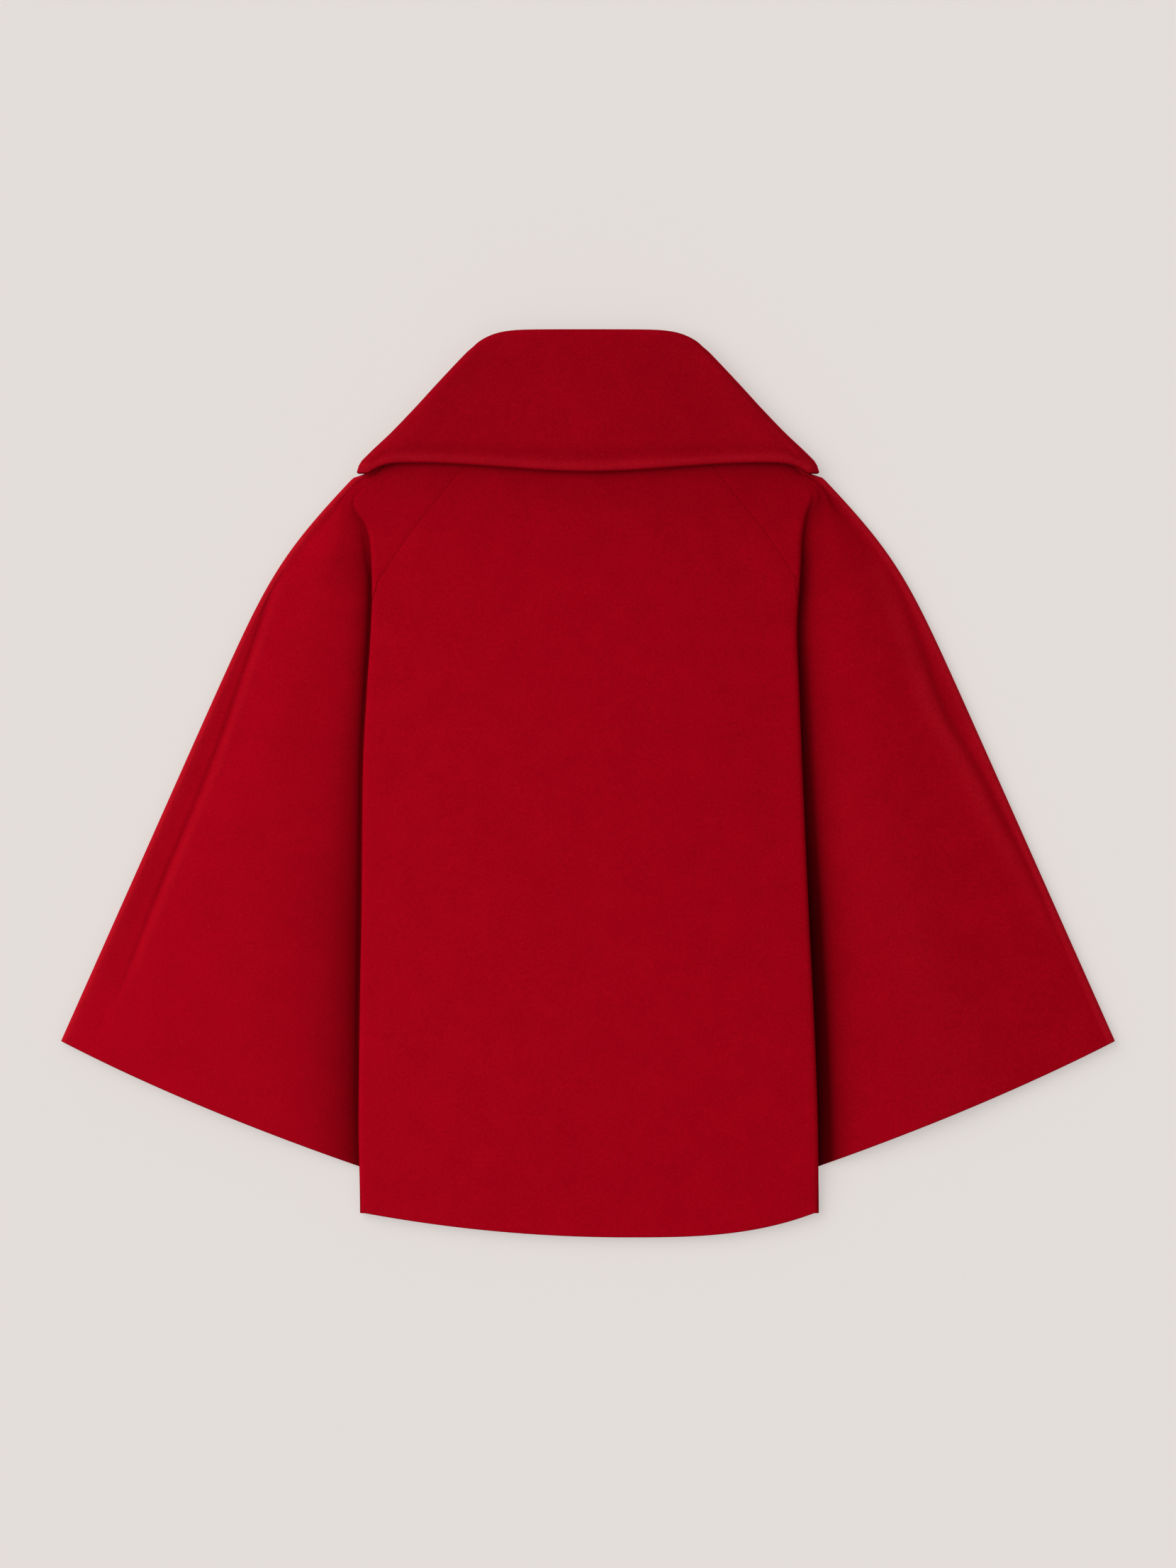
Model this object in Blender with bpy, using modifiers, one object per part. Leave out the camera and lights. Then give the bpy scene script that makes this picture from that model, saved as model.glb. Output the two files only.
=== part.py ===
"""A short cape jacket in felted wool, laid flat on its front with its back up.

X runs across the garment, +Y from the hem to the collar, and +Z up from the surface it lies on.
Lengths in the tables are millimetres. The cross-sections of one half are paths that start at the
centre back, run out over the folded edge of the back, tuck under it, run out over the sleeve, turn
round its outer fold and come back along the floor to the centre front.
"""

import math

import bmesh
import bpy
from mathutils import Vector

MM = 0.001

# Cloth and seams
WALL = 2.2
COLLAR_WALL = 4.0
SEAM_GAP = 0.35
HALF_WALL = WALL / 2
HALF_COLLAR = COLLAR_WALL / 2

# Outline from above
SHOULDER_REACH = 458.3
SIDE_AT_ZERO = 348.9
SIDE_FLARE = 0.4455
SHOULDER_SOFTNESS = 13.7
COLLAR_SQUEEZE = 8.5
SQUEEZE_FROM = 252.5
SQUEEZE_TO = 262.5
UNDERARM_Y = -323.5
CUFF_RISE = 106.0
CUFF_CURVE_FROM = 150.0
HEM_LOWEST = -384.3
HEM_LOWEST_X = 35.0
HEM_SIDE_RISE = 20.5
HEM_SIDE_X = 193.5
HEM_LEFT_POWER = 2.0
HEM_RIGHT_POWER = 2.9
FRONT_HEM_SHORTER = 2.0

# Neck seam
NECK_BACK_Y = 318.0
NECK_FRONT_Y = 285.0
NECK_POINT_Y = 338.0
NECK_POINT_X = SHOULDER_REACH - NECK_POINT_Y - COLLAR_SQUEEZE - HALF_WALL
BACK_NECK_HALF = 60.0
FRONT_NECK_HALF = 50.0
NECK_FRONT_POWER = 1.6

# Folds and turns
FOLD_RADIUS = 3.0
LEAST_TURN = 2.4
LEAST_TURN_ANGLE = 0.08
SIDE_SEAM_OPENING = 10.0
SIDE_SEAM_GAP = 0.6
WRAP_GAP = 1.0
TUCK_GAP = 0.7
OUTER_ROLL = 3.4
CUFF_SAG = 0.36
CUFF_SAG_REACH = 120.0
FRONT_INSET = 8.0
FRONT_SEAM_LOW_Y = 125.0
FRONT_SEAM_LOW_X = 172.0
CURL_LENGTH = 6.0
CURL_CLEARANCE = 1.6
COLLAR_LIFT = 4.7
COLLAR_LIFT_REACH = 30.0

# Folds of the sleeve's top: they fade where it is narrow, near the neck
FOLDS_FROM_WIDTH = 14.0
FOLDS_FULL_OVER = 60.0

# The most of the sleeve's width that each of its folds may take, as shares
FOOT_SHARE = 0.1
NEAR_SHARE = 0.18
SHOULDER_SHARE = 0.32
CREST_SHARE = 0.5
RIDGE_SHARE = 0.3
BAND_SHARE = 0.14
ROLL_SHARE = 0.05

# The band outside the sleeve's outer ridge
BAND_WIDTH = 11.0
LEAST_BAND = 3.0
BAND_SLOPE = 0.04
BAND_FROM = 8.0
RIDGE_SLOPE = 0.05
ROLL_EASE = 1.6

# Collar
COLLAR_FOLD_BULGE = 3.2
COLLAR_FOLD_LIFT = 1.3
FOLD_LEAN = 0.4
COLLAR_FOLD_Y = 384.3 - HALF_COLLAR - COLLAR_FOLD_BULGE
COLLAR_CORNER_X = 96.5
COLLAR_CORNER_Y = 369.5
COLLAR_TIP_X = 196.2
COLLAR_TIP_Y = 262.4
COLLAR_LOWER_Y = 263.7
COLLAR_LOWER_RISE = 7.5
COLLAR_RISE_X = 155.0
COLLAR_DIP_X = 165.0
COLLAR_DIP_POWER = 2.5
BACK_FOLD_POWER = 6.5
FRONT_FOLD_POWER = 1.3
COLLAR_FRONT_FOLD_Y = 322.0
COLLAR_FRONT_LOWER_Y = 197.0
COLLAR_FRONT_POWER = 1.5
COLLAR_FRONT_GAP = 2.0
COLLAR_REST = 0.5
STAND_NECK_X = NECK_POINT_X + HALF_COLLAR
STAND_CORNER_X = 89.5
STAND_DROP = 0.9
STAND_FRONT_Z = 6.7
STAND_FRONT_LIFT = 0.9

# Stations along a cross-section
FOLD_START = 1.0
FOLD_TURNED = 2.0
TUCK_END = 3.0
UNDER_TURNED = 4.0
ROLL_START = 7.0
ROLL_END = 8.0
FRONT_SEAM = 9.0
CENTRE_FRONT = 10.0

# Rows and columns
BACK_STEPS = 8
TURN_STEPS = 5
TUCK_STEPS = 2
SLEEVE_STEPS = 14
ROLL_STEPS = 4
UNDER_STEPS = 3
CURL_STEPS = 3
FRONT_STEPS = 4
COLLAR_BACK_STEPS = 7
COLLAR_ROLL_STEPS = 5
COLLAR_FRONT_STEPS = 6
STAND_STEPS = 2
COLLAR_FOLD_STEPS = 4
FALL_STEPS = 6

WOOL = (0.333, 0.0012, 0.0085, 1.0)
COLLAR_WOOL = (0.26, 0.0012, 0.0075, 1.0)


class Table:
    """Rows of named columns, read smoothly at any value of the first column."""

    def __init__(self, names, rows):
        ordered = sorted(rows)
        self.keys = [row[0] for row in ordered]
        self.columns = {name: [row[i] for row in ordered] for i, name in enumerate(names)}

    def slope(self, values, i):
        """A slope at row i that never overshoots its neighbours."""
        if i in (0, len(values) - 1):
            return 0.0
        before = (values[i] - values[i - 1]) / (self.keys[i] - self.keys[i - 1])
        after = (values[i + 1] - values[i]) / (self.keys[i + 1] - self.keys[i])
        if before * after <= 0:
            return 0.0
        return 2 * before * after / (before + after)

    def at(self, name, key):
        """The column's value at this key, held beyond the first and last rows."""
        values = self.columns[name]
        if key <= self.keys[0]:
            return values[0]
        if key >= self.keys[-1]:
            return values[-1]
        i = max(n for n in range(len(self.keys)) if self.keys[n] <= key)
        width = self.keys[i + 1] - self.keys[i]
        t = (key - self.keys[i]) / width
        start = self.slope(values, i) * width
        end = self.slope(values, i + 1) * width
        return (
            values[i] * (1 + 2 * t) * (1 - t) ** 2
            + start * t * (1 - t) ** 2
            + values[i + 1] * t * t * (3 - 2 * t)
            + end * t * t * (t - 1)
        )


# The folded edge of the back, seen from above: its distance from the centre on each side
FOLD_LINE = Table(
    ("y", "left", "right"),
    (
        (338.0, 92.0, 92.0),
        (300.0, 126.0, 126.0),
        (270.0, 158.0, 158.0),
        (255.0, 177.0, 176.0),
        (248.0, 189.0, 186.0),
        (242.0, 194.6, 187.6),
        (235.5, 196.6, 186.8),
        (229.0, 194.2, 184.8),
        (222.0, 189.8, 183.2),
        (214.0, 186.2, 181.9),
        (205.5, 184.6, 180.9),
        (190.5, 183.4, 180.3),
        (165.0, 182.7, 178.8),
        (130.0, 183.8, 176.9),
        (85.0, 186.8, 178.5),
        (10.0, 190.5, 181.5),
        (-110.0, 191.7, 186.8),
        (-200.0, 193.3, 191.3),
        (-290.0, 194.1, 194.5),
        (-325.0, 193.5, 195.0),
        (-363.0, 192.9, 195.3),
    ),
)

# How far the back's edge turns over, in degrees, and how deep it tucks under
FOLD_SHAPE = Table(
    ("y", "turn", "tuck"),
    (
        (338.0, 0.0, 1.5),
        (268.0, 0.0, 1.5),
        (256.0, 6.0, 1.5),
        (248.0, 14.0, 1.5),
        (240.0, 32.0, 1.5),
        (232.0, 55.0, 1.5),
        (222.0, 78.0, 1.5),
        (208.0, 95.0, 1.5),
        (192.0, 112.0, 1.8),
        (176.0, 140.0, 2.5),
        (162.0, 166.0, 4.5),
        (150.0, 180.0, 9.0),
        (130.0, 180.0, 20.0),
        (60.0, 180.0, 22.0),
        (-240.0, 180.0, 22.0),
        (-290.0, 180.0, 13.0),
        (-323.5, 180.0, 3.0),
        (-333.5, 158.0, 2.0),
        (-350.0, 90.0, 1.0),
        (-363.0, 90.0, 1.0),
    ),
)

# Heights of the top face of the back: at the centre, and at each folded edge
BODY_HEIGHT = Table(
    ("y", "centre", "left", "right"),
    (
        (384.0, 19.5, 15.6, 15.6),
        (338.0, 21.0, 15.8, 15.8),
        (300.0, 22.5, 16.0, 16.0),
        (262.0, 24.0, 16.6, 16.6),
        (235.0, 25.0, 17.8, 18.0),
        (200.0, 26.0, 19.8, 20.2),
        (120.0, 27.5, 21.0, 21.4),
        (0.0, 27.5, 21.0, 21.4),
        (-150.0, 26.0, 20.2, 20.8),
        (-260.0, 22.0, 17.8, 18.4),
        (-323.5, 17.6, 14.7, 14.9),
        (-345.0, 14.6, 12.0, 12.0),
        (-363.0, 12.2, 10.6, 10.6),
        (-385.0, 10.4, 9.6, 9.6),
    ),
)

# The top of each sleeve, from the fold of the back out to its own outer ridge. The distances from
# the fold and the heights above the slot follow each other: the slot's foot, its near lip, the
# shoulder beyond it and the crest. Inset and step are the outer ridge's; under is the turn's radius.
SLEEVE_COLUMNS = (
    "y", "foot", "near_x", "near", "shoulder_x", "shoulder", "crest_x", "crest", "inset", "step", "under"
)

# The left sleeve: a narrow slot, then a slow rise from under the fold
LEFT_SLEEVE = Table(
    SLEEVE_COLUMNS,
    (
        (338.0, 2.0, 5.0, 1.0, 8.0, 1.1, 10.0, 1.2, 6.5, 0.0, 3.0),
        (262.0, 2.0, 5.0, 1.0, 8.0, 1.1, 10.0, 1.2, 6.5, 0.0, 3.0),
        (240.0, 2.5, 5.5, 1.2, 9.0, 2.0, 14.0, 2.5, 6.5, 0.0, 2.4),
        (215.0, 3.0, 6.5, 2.4, 17.0, 4.4, 32.0, 5.6, 6.5, 0.0, 2.8),
        (190.0, 3.4, 7.0, 3.0, 20.0, 6.0, 48.0, 8.2, 7.0, 0.2, 3.2),
        (160.0, 3.6, 7.5, 3.6, 22.0, 7.6, 60.0, 10.4, 8.5, 2.0, 3.6),
        (103.0, 3.6, 7.5, 4.2, 25.0, 8.8, 70.0, 12.0, 17.5, 3.6, 3.8),
        (0.0, 3.6, 7.5, 4.2, 28.0, 9.2, 78.0, 12.8, 26.5, 4.2, 3.8),
        (-110.0, 3.6, 8.0, 4.0, 31.0, 9.2, 84.0, 13.0, 30.6, 4.2, 3.8),
        (-165.0, 3.6, 8.0, 4.0, 32.0, 9.0, 86.0, 12.6, 33.0, 3.4, 3.6),
        (-205.0, 3.6, 8.0, 3.8, 32.0, 8.6, 86.0, 12.0, 34.0, 2.0, 3.4),
        (-290.0, 3.4, 7.5, 3.2, 30.0, 7.4, 82.0, 10.4, 34.0, 1.0, 2.5),
        (-323.5, 3.2, 7.0, 2.8, 28.0, 6.6, 78.0, 9.4, 34.0, 0.8, 1.9),
    ),
)

# The right sleeve: a wider slot, then a steeper rise
RIGHT_SLEEVE = Table(
    SLEEVE_COLUMNS,
    (
        (338.0, 2.0, 5.0, 1.0, 8.0, 1.1, 10.0, 1.2, 6.5, 0.0, 3.0),
        (262.0, 2.0, 5.0, 1.0, 8.0, 1.1, 10.0, 1.2, 6.5, 0.0, 3.0),
        (240.0, 3.0, 7.0, 1.2, 10.0, 1.8, 14.0, 2.2, 6.5, 0.0, 2.0),
        (215.0, 5.0, 12.0, 2.0, 20.0, 3.8, 32.0, 5.0, 6.5, 0.0, 2.2),
        (190.0, 6.5, 13.0, 3.4, 26.0, 6.0, 44.0, 7.6, 8.0, 0.6, 2.6),
        (160.0, 7.0, 13.5, 4.6, 29.0, 7.8, 52.0, 9.6, 12.5, 1.6, 3.0),
        (103.0, 8.0, 14.0, 5.4, 31.0, 9.0, 56.0, 11.0, 19.5, 3.0, 3.6),
        (58.0, 8.0, 14.5, 5.8, 32.0, 9.6, 58.0, 11.6, 23.0, 3.6, 3.9),
        (0.0, 8.5, 15.0, 6.0, 33.0, 10.2, 60.0, 12.2, 16.4, 3.2, 4.2),
        (-60.0, 9.5, 15.5, 6.2, 35.0, 10.8, 62.0, 12.8, 12.0, 2.4, 4.5),
        (-121.0, 10.0, 16.0, 6.4, 36.0, 11.2, 64.0, 13.2, 8.0, 1.0, 4.8),
        (-165.0, 10.0, 16.0, 6.4, 36.0, 11.2, 66.0, 13.2, 8.0, 0.2, 4.8),
        (-230.0, 9.5, 15.5, 6.0, 36.0, 10.4, 68.0, 12.2, 8.0, 0.0, 4.2),
        (-290.0, 9.0, 15.0, 5.0, 34.0, 9.0, 68.0, 10.6, 8.0, 0.0, 3.0),
        (-323.5, 9.0, 15.0, 4.4, 33.0, 8.0, 68.0, 9.6, 8.0, 0.0, 2.1),
    ),
)

# The collar's side: x and y added up, a share of the way down from its top corner to its tip
COLLAR_SIDE = Table(
    ("share", "sum"),
    (
        (0.0, 466.0),
        (0.07, 466.9),
        (0.154, 466.6),
        (0.335, 465.4),
        (0.51, 463.8),
        (0.7, 463.0),
        (0.9, 464.0),
        (0.955, 464.0),
        (0.98, 462.4),
        (1.0, 458.6),
    ),
)

# The raglan seams: the back one seen from above, the front one on the hidden side
RAGLAN_BACK = Table(
    ("y", "x"),
    (
        (323.2, 60.0),
        (290.0, 88.0),
        (239.7, 128.0),
        (208.5, 152.7),
        (182.0, 170.1),
        (166.5, 179.0),
    ),
)
RAGLAN_FRONT = Table(
    ("y", "x"),
    (
        (298.4, 50.0),
        (262.0, 84.0),
        (225.0, 119.0),
        (190.0, 148.0),
        (160.0, 166.0),
        (FRONT_SEAM_LOW_Y, FRONT_SEAM_LOW_X),
    ),
)

# Rows of cross-sections from the neck down, with the column that the back's seam is on
ROWS = (
    (322.8, BACK_STEPS - 3),
    (303.0, BACK_STEPS - 3),
    (283.0, BACK_STEPS - 3),
    (266.0, BACK_STEPS - 3),
    (258.5, BACK_STEPS - 3),
    (250.0, BACK_STEPS - 3),
    (241.0, BACK_STEPS - 3),
    (230.0, BACK_STEPS - 2),
    (219.0, BACK_STEPS - 2),
    (208.0, BACK_STEPS - 1),
    (195.0, BACK_STEPS - 1),
    (181.0, BACK_STEPS - 1),
    (166.5, BACK_STEPS),
    (160.0, BACK_STEPS + 1),
    (153.5, BACK_STEPS + 2),
    (147.0, BACK_STEPS + 3),
    (140.5, BACK_STEPS + 4),
    (134.0, BACK_STEPS + TURN_STEPS),
    (124.0, BACK_STEPS + TURN_STEPS + 1),
    (114.0, BACK_STEPS + TURN_STEPS + TUCK_STEPS),
)
LOWER_ROW_COUNT = 11
HEM_ROWS = (-328.5, -333.5, -341.5, -350.0, -363.0)
WRAP_FROM = ROWS[12][0]
WRAP_TURNED = ROWS[17][0]
WRAP_TO = ROWS[19][0]
LAST_SEAM_COLUMN = BACK_STEPS + TURN_STEPS + TUCK_STEPS
TOP_EASE = 150.0
BACK_TOP_EASE = 60.0
HEM_EASE = 120.0


def lerp(a, b, t):
    """The value a share t of the way from a to b."""
    return a + (b - a) * t


def smooth(t):
    """A soft step from 0 to 1."""
    t = min(max(t, 0.0), 1.0)
    return t * t * (3 - 2 * t)


def silhouette(y):
    """Half the garment's width at y: the shoulder line runs softly into the flared side."""
    shoulder = SHOULDER_REACH - y
    side = SIDE_AT_ZERO - SIDE_FLARE * y
    blend = SHOULDER_SOFTNESS * math.log1p(math.exp(-abs(shoulder - side) / SHOULDER_SOFTNESS))
    squeeze = COLLAR_SQUEEZE * smooth((y - SQUEEZE_FROM) / (SQUEEZE_TO - SQUEEZE_FROM))
    return min(shoulder, side) - blend - squeeze


def hem_y(x):
    """The curved hem, lowest a little right of the centre."""
    if x < HEM_LOWEST_X:
        share, power = (HEM_LOWEST_X - x) / (HEM_LOWEST_X + HEM_SIDE_X), HEM_LEFT_POWER
    else:
        share, power = (x - HEM_LOWEST_X) / (HEM_SIDE_X - HEM_LOWEST_X), HEM_RIGHT_POWER
    return HEM_LOWEST + HEM_SIDE_RISE * min(share, 1.0) ** power


def neck_back_y(x):
    """The neck seam along the back, out to the neck point."""
    return lerp(NECK_BACK_Y, NECK_POINT_Y, min(abs(x) / NECK_POINT_X, 1.0) ** 2)


def neck_front_y(x):
    """The neck seam along the front, out to the neck point."""
    return lerp(NECK_FRONT_Y, NECK_POINT_Y, min(abs(x) / NECK_POINT_X, 1.0) ** NECK_FRONT_POWER)


def collar_front_lower_y(x):
    """The lower edge of the collar on the hidden front."""
    share = min(abs(x) / COLLAR_TIP_X, 1.0) ** COLLAR_FRONT_POWER
    return lerp(COLLAR_FRONT_LOWER_Y, COLLAR_TIP_Y, share)


def floor_height(x, y):
    """Mid-height of the lowest cloth, lifted where the front of the collar lies below it."""
    inside = (y - collar_front_lower_y(x)) / COLLAR_LIFT_REACH + 1
    return HALF_WALL + COLLAR_LIFT * smooth(inside)


def turned(x, z, heading, length, angle, t):
    """A point a share t along an arc that starts at x, z and turns by the angle; also the new heading."""
    if abs(angle) < 1e-5:
        return x + math.cos(heading) * length * t, z + math.sin(heading) * length * t, heading
    radius = length / angle
    end = heading + angle * t
    return (
        x + radius * (math.sin(end) - math.sin(heading)),
        z - radius * (math.cos(end) - math.cos(heading)),
        end,
    )


def soft_curve(points, t):
    """A point on the smooth curve that these corners guide, with t from 0 to 1."""
    pieces = len(points) - 2
    i = min(int(t * pieces), pieces - 1)
    s = t * pieces - i
    before, corner, after = points[i], points[i + 1], points[i + 2]
    start = before if i == 0 else tuple((a + b) / 2 for a, b in zip(before, corner))
    end = after if i == pieces - 1 else tuple((a + b) / 2 for a, b in zip(corner, after))
    return tuple(
        a * (1 - s) ** 2 + 2 * b * s * (1 - s) + c * s * s for a, b, c in zip(start, corner, end)
    )


class Section:
    """The cross-section of one half at y: a path from the centre back round to the centre front."""

    def __init__(self, side, y):
        self.side = side
        self.y = y
        self.name = "right" if side > 0 else "left"
        self.sleeve = RIGHT_SLEEVE if side > 0 else LEFT_SLEEVE
        self.edge = FOLD_LINE.at(self.name, y)
        self.half = silhouette(y)
        self.centre_z = BODY_HEIGHT.at("centre", y) - HALF_WALL
        self.edge_z = BODY_HEIGHT.at(self.name, y) - HALF_WALL
        self.tuck = FOLD_SHAPE.at("tuck", y)
        self.cuff_share = 0.5
        self.first_heading = -2 * (self.centre_z - self.edge_z) / self.edge
        self.turn = max(math.radians(FOLD_SHAPE.at("turn", y)), -self.first_heading + LEAST_TURN_ANGLE)
        self.turn_length = max(FOLD_RADIUS * self.turn, LEAST_TURN)
        reach = (FOLD_RADIUS + HALF_WALL) * math.sin(min(self.turn, math.pi / 2))
        self.start_x = self.edge - reach
        self.start_z = self.dome(self.start_x)

    def dome(self, x):
        """Mid-height of the back, crowned at the centre."""
        share = min(x / self.edge, 1.0)
        return self.edge_z + (self.centre_z - self.edge_z) * (1 - share * share)

    def fold(self, u):
        """A point on the folded edge, its tuck or the turn below it, and the heading there."""
        point = turned(
            self.start_x,
            self.start_z,
            self.first_heading,
            self.turn_length,
            -self.turn - self.first_heading,
            min(u - FOLD_START, 1.0),
        )
        if u > FOLD_TURNED:
            point = turned(*point, self.tuck, 0.0, min(u - FOLD_TURNED, 1.0))
        if u > TUCK_END:
            radius = self.sleeve.at("under", self.y)
            length = max(radius * self.turn, LEAST_TURN)
            point = turned(*point, length, self.turn, min(u - TUCK_END, 1.0))
        return point

    def sag(self):
        """How far the sleeve sinks toward its open cuff, as a share of its height."""
        cuff = UNDERARM_Y + CUFF_RISE * self.cuff_share
        return 1 - CUFF_SAG * (1 - smooth((self.y - cuff) / CUFF_SAG_REACH))

    def sleeve_corners(self):
        """The corners that guide the top of the sleeve, from under the fold to the outer roll."""
        column = {name: self.sleeve.at(name, self.y) for name in self.sleeve.columns if name != "y"}
        low_x, low_z, _ = self.fold(UNDER_TURNED)
        roll_x = self.half - HALF_WALL - OUTER_ROLL
        roll_z = floor_height(roll_x, self.y) + 2 * OUTER_ROLL
        base_x = max(low_x, self.edge - 2.0)
        room = roll_x - base_x
        ease = smooth((self.half - self.edge - FOLDS_FROM_WIDTH) / FOLDS_FULL_OVER)
        sag = self.sag()
        foot_x = base_x + min(column["foot"], FOOT_SHARE * room)
        near_x = base_x + min(column["near_x"], NEAR_SHARE * room)
        shoulder_x = base_x + min(column["shoulder_x"], SHOULDER_SHARE * room)
        crest_x = base_x + min(column["crest_x"], CREST_SHARE * room)
        ridge_x = roll_x - min(column["inset"] + 1.0, RIDGE_SHARE * room)
        band_x = roll_x - min(max(column["inset"] - BAND_WIDTH, LEAST_BAND), BAND_SHARE * room)
        near_z = lerp(lerp(low_z, roll_z, 0.2), low_z + column["near"] * sag, ease)
        shoulder_z = lerp(lerp(low_z, roll_z, 0.4), low_z + column["shoulder"] * sag, ease)
        crest_z = lerp(lerp(low_z, roll_z, 0.5), low_z + column["crest"] * sag, ease)
        ridge_z = roll_z + (RIDGE_SLOPE * column["inset"] + column["step"]) * sag * ease + 0.3 * ease
        band_z = roll_z + BAND_SLOPE * max(column["inset"] - BAND_FROM, 0.0) * ease
        return (
            (low_x, low_z),
            (lerp(low_x, base_x, 0.9), low_z),
            (foot_x, lerp(low_z, near_z, 0.06)),
            (near_x, near_z),
            (shoulder_x, shoulder_z),
            (crest_x, crest_z),
            (lerp(crest_x, ridge_x, 0.55), lerp(crest_z, ridge_z, 0.42)),
            (ridge_x, ridge_z),
            (band_x, band_z),
            (roll_x - min(ROLL_EASE, ROLL_SHARE * room), roll_z),
            (roll_x, roll_z),
        )

    def point(self, u):
        """The mid-surface point (x, z) at station u."""
        if u <= FOLD_START:
            x = self.start_x * u
            return x, self.dome(x)
        if u <= UNDER_TURNED:
            return self.fold(u)[:2]
        roll_x = self.half - HALF_WALL - OUTER_ROLL
        if u <= ROLL_START:
            return soft_curve(self.sleeve_corners(), (u - UNDER_TURNED) / (ROLL_START - UNDER_TURNED))
        floor_z = floor_height(roll_x, self.y)
        if u <= ROLL_END:
            angle = math.pi * (u - ROLL_START)
            return roll_x + OUTER_ROLL * math.sin(angle), floor_z + OUTER_ROLL * (1 + math.cos(angle))
        if u <= FRONT_SEAM:
            x = lerp(roll_x, self.front_seam_x(), u - ROLL_END)
        else:
            x = self.front_seam_x() * (CENTRE_FRONT - u)
        return x, floor_height(x, self.y)

    def front_seam_x(self):
        """Where the sleeve meets the front on the hidden side."""
        inside = self.edge - FRONT_INSET
        if self.y > FRONT_SEAM_LOW_Y:
            return min(RAGLAN_FRONT.at("x", self.y), inside)
        return lerp(FRONT_SEAM_LOW_X, inside, smooth(1 - self.y / FRONT_SEAM_LOW_Y))


def seam_station(side, y):
    """The station of the back's seam at y: on the top above the fold, then round and under it."""
    section = Section(side, y)
    if y >= WRAP_FROM:
        return min(RAGLAN_BACK.at("x", y) / section.start_x, FOLD_START)
    if y >= WRAP_TURNED:
        return lerp(FOLD_START, FOLD_TURNED, (WRAP_FROM - y) / (WRAP_FROM - WRAP_TURNED))
    if y >= WRAP_TO:
        return lerp(FOLD_TURNED, TUCK_END, (WRAP_TURNED - y) / (WRAP_TURNED - WRAP_TO))
    if y >= UNDERARM_Y:
        return TUCK_END
    bent = (section.turn - math.pi / 2) / section.turn
    return TUCK_END + bent * smooth((UNDERARM_Y - y) / SIDE_SEAM_OPENING)


def row_table():
    """Every row from the neck to the underarm: its y and the column of the back's seam."""
    rows = list(ROWS)
    first = rows[-1][0]
    for i in range(1, LOWER_ROW_COUNT + 1):
        rows.append((lerp(first, UNDERARM_Y, i / LOWER_ROW_COUNT), LAST_SEAM_COLUMN))
    return rows


def back_stations(side, y, column):
    """The stations of the columns from the centre to the back's seam, on the row at y."""
    seam = seam_station(side, y)
    if column <= BACK_STEPS:
        return [seam * k / column for k in range(column + 1)]
    stations = [k / BACK_STEPS for k in range(BACK_STEPS + 1)]
    turn_columns = min(column - BACK_STEPS, TURN_STEPS)
    if column <= BACK_STEPS + TURN_STEPS:
        return stations + [lerp(FOLD_START, seam, k / turn_columns) for k in range(1, turn_columns + 1)]
    stations += [FOLD_START + k / TURN_STEPS for k in range(1, TURN_STEPS + 1)]
    tuck_columns = column - BACK_STEPS - TURN_STEPS
    if y < UNDERARM_Y:
        stations += [lerp(FOLD_TURNED, TUCK_END, k / TUCK_STEPS) for k in range(1, TUCK_STEPS + 1)]
        return stations + [lerp(TUCK_END, seam, k / TUCK_STEPS) for k in range(1, TUCK_STEPS + 1)]
    return stations + [lerp(FOLD_TURNED, seam, k / tuck_columns) for k in range(1, tuck_columns + 1)]


def sleeve_stations(side, y, column):
    """The stations of the columns from the back's seam out over the sleeve and back under it."""
    seam = seam_station(side, y)
    stations = [seam]
    if column < BACK_STEPS:
        count = BACK_STEPS - column
        stations += [lerp(seam, FOLD_START, k / count) for k in range(1, count + 1)]
    if column < BACK_STEPS + TURN_STEPS:
        done = max(column - BACK_STEPS, 0)
        start = max(seam, FOLD_START)
        count = TURN_STEPS - done
        stations += [lerp(start, FOLD_TURNED, k / count) for k in range(1, count + 1)]
    if column < LAST_SEAM_COLUMN:
        done = max(column - BACK_STEPS - TURN_STEPS, 0)
        start = max(seam, FOLD_TURNED)
        count = TUCK_STEPS - done
        stations += [lerp(start, TUCK_END, k / count) for k in range(1, count + 1)]
    stations += [TUCK_END + k / TURN_STEPS for k in range(1, TURN_STEPS + 1)]
    span = ROLL_START - UNDER_TURNED
    stations += [UNDER_TURNED + span * k / SLEEVE_STEPS for k in range(1, SLEEVE_STEPS + 1)]
    stations += [ROLL_START + k / ROLL_STEPS for k in range(1, ROLL_STEPS + 1)]
    stations += [ROLL_END + k / UNDER_STEPS for k in range(1, UNDER_STEPS + 1)]
    return stations


def advanced(section, u, gap):
    """The station this far along the path from u."""
    here = section.point(u)
    ahead = section.point(u + 0.01)
    return u + 0.01 * gap / max(math.dist(here, ahead), 1e-6)


def neck_share(y, ease):
    """How strongly a row at y follows the neck seam: 1 on the first row, 0 below the ease."""
    return min(max(1 - (ROWS[0][0] - y) / ease, 0.0), 1.0)


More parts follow.
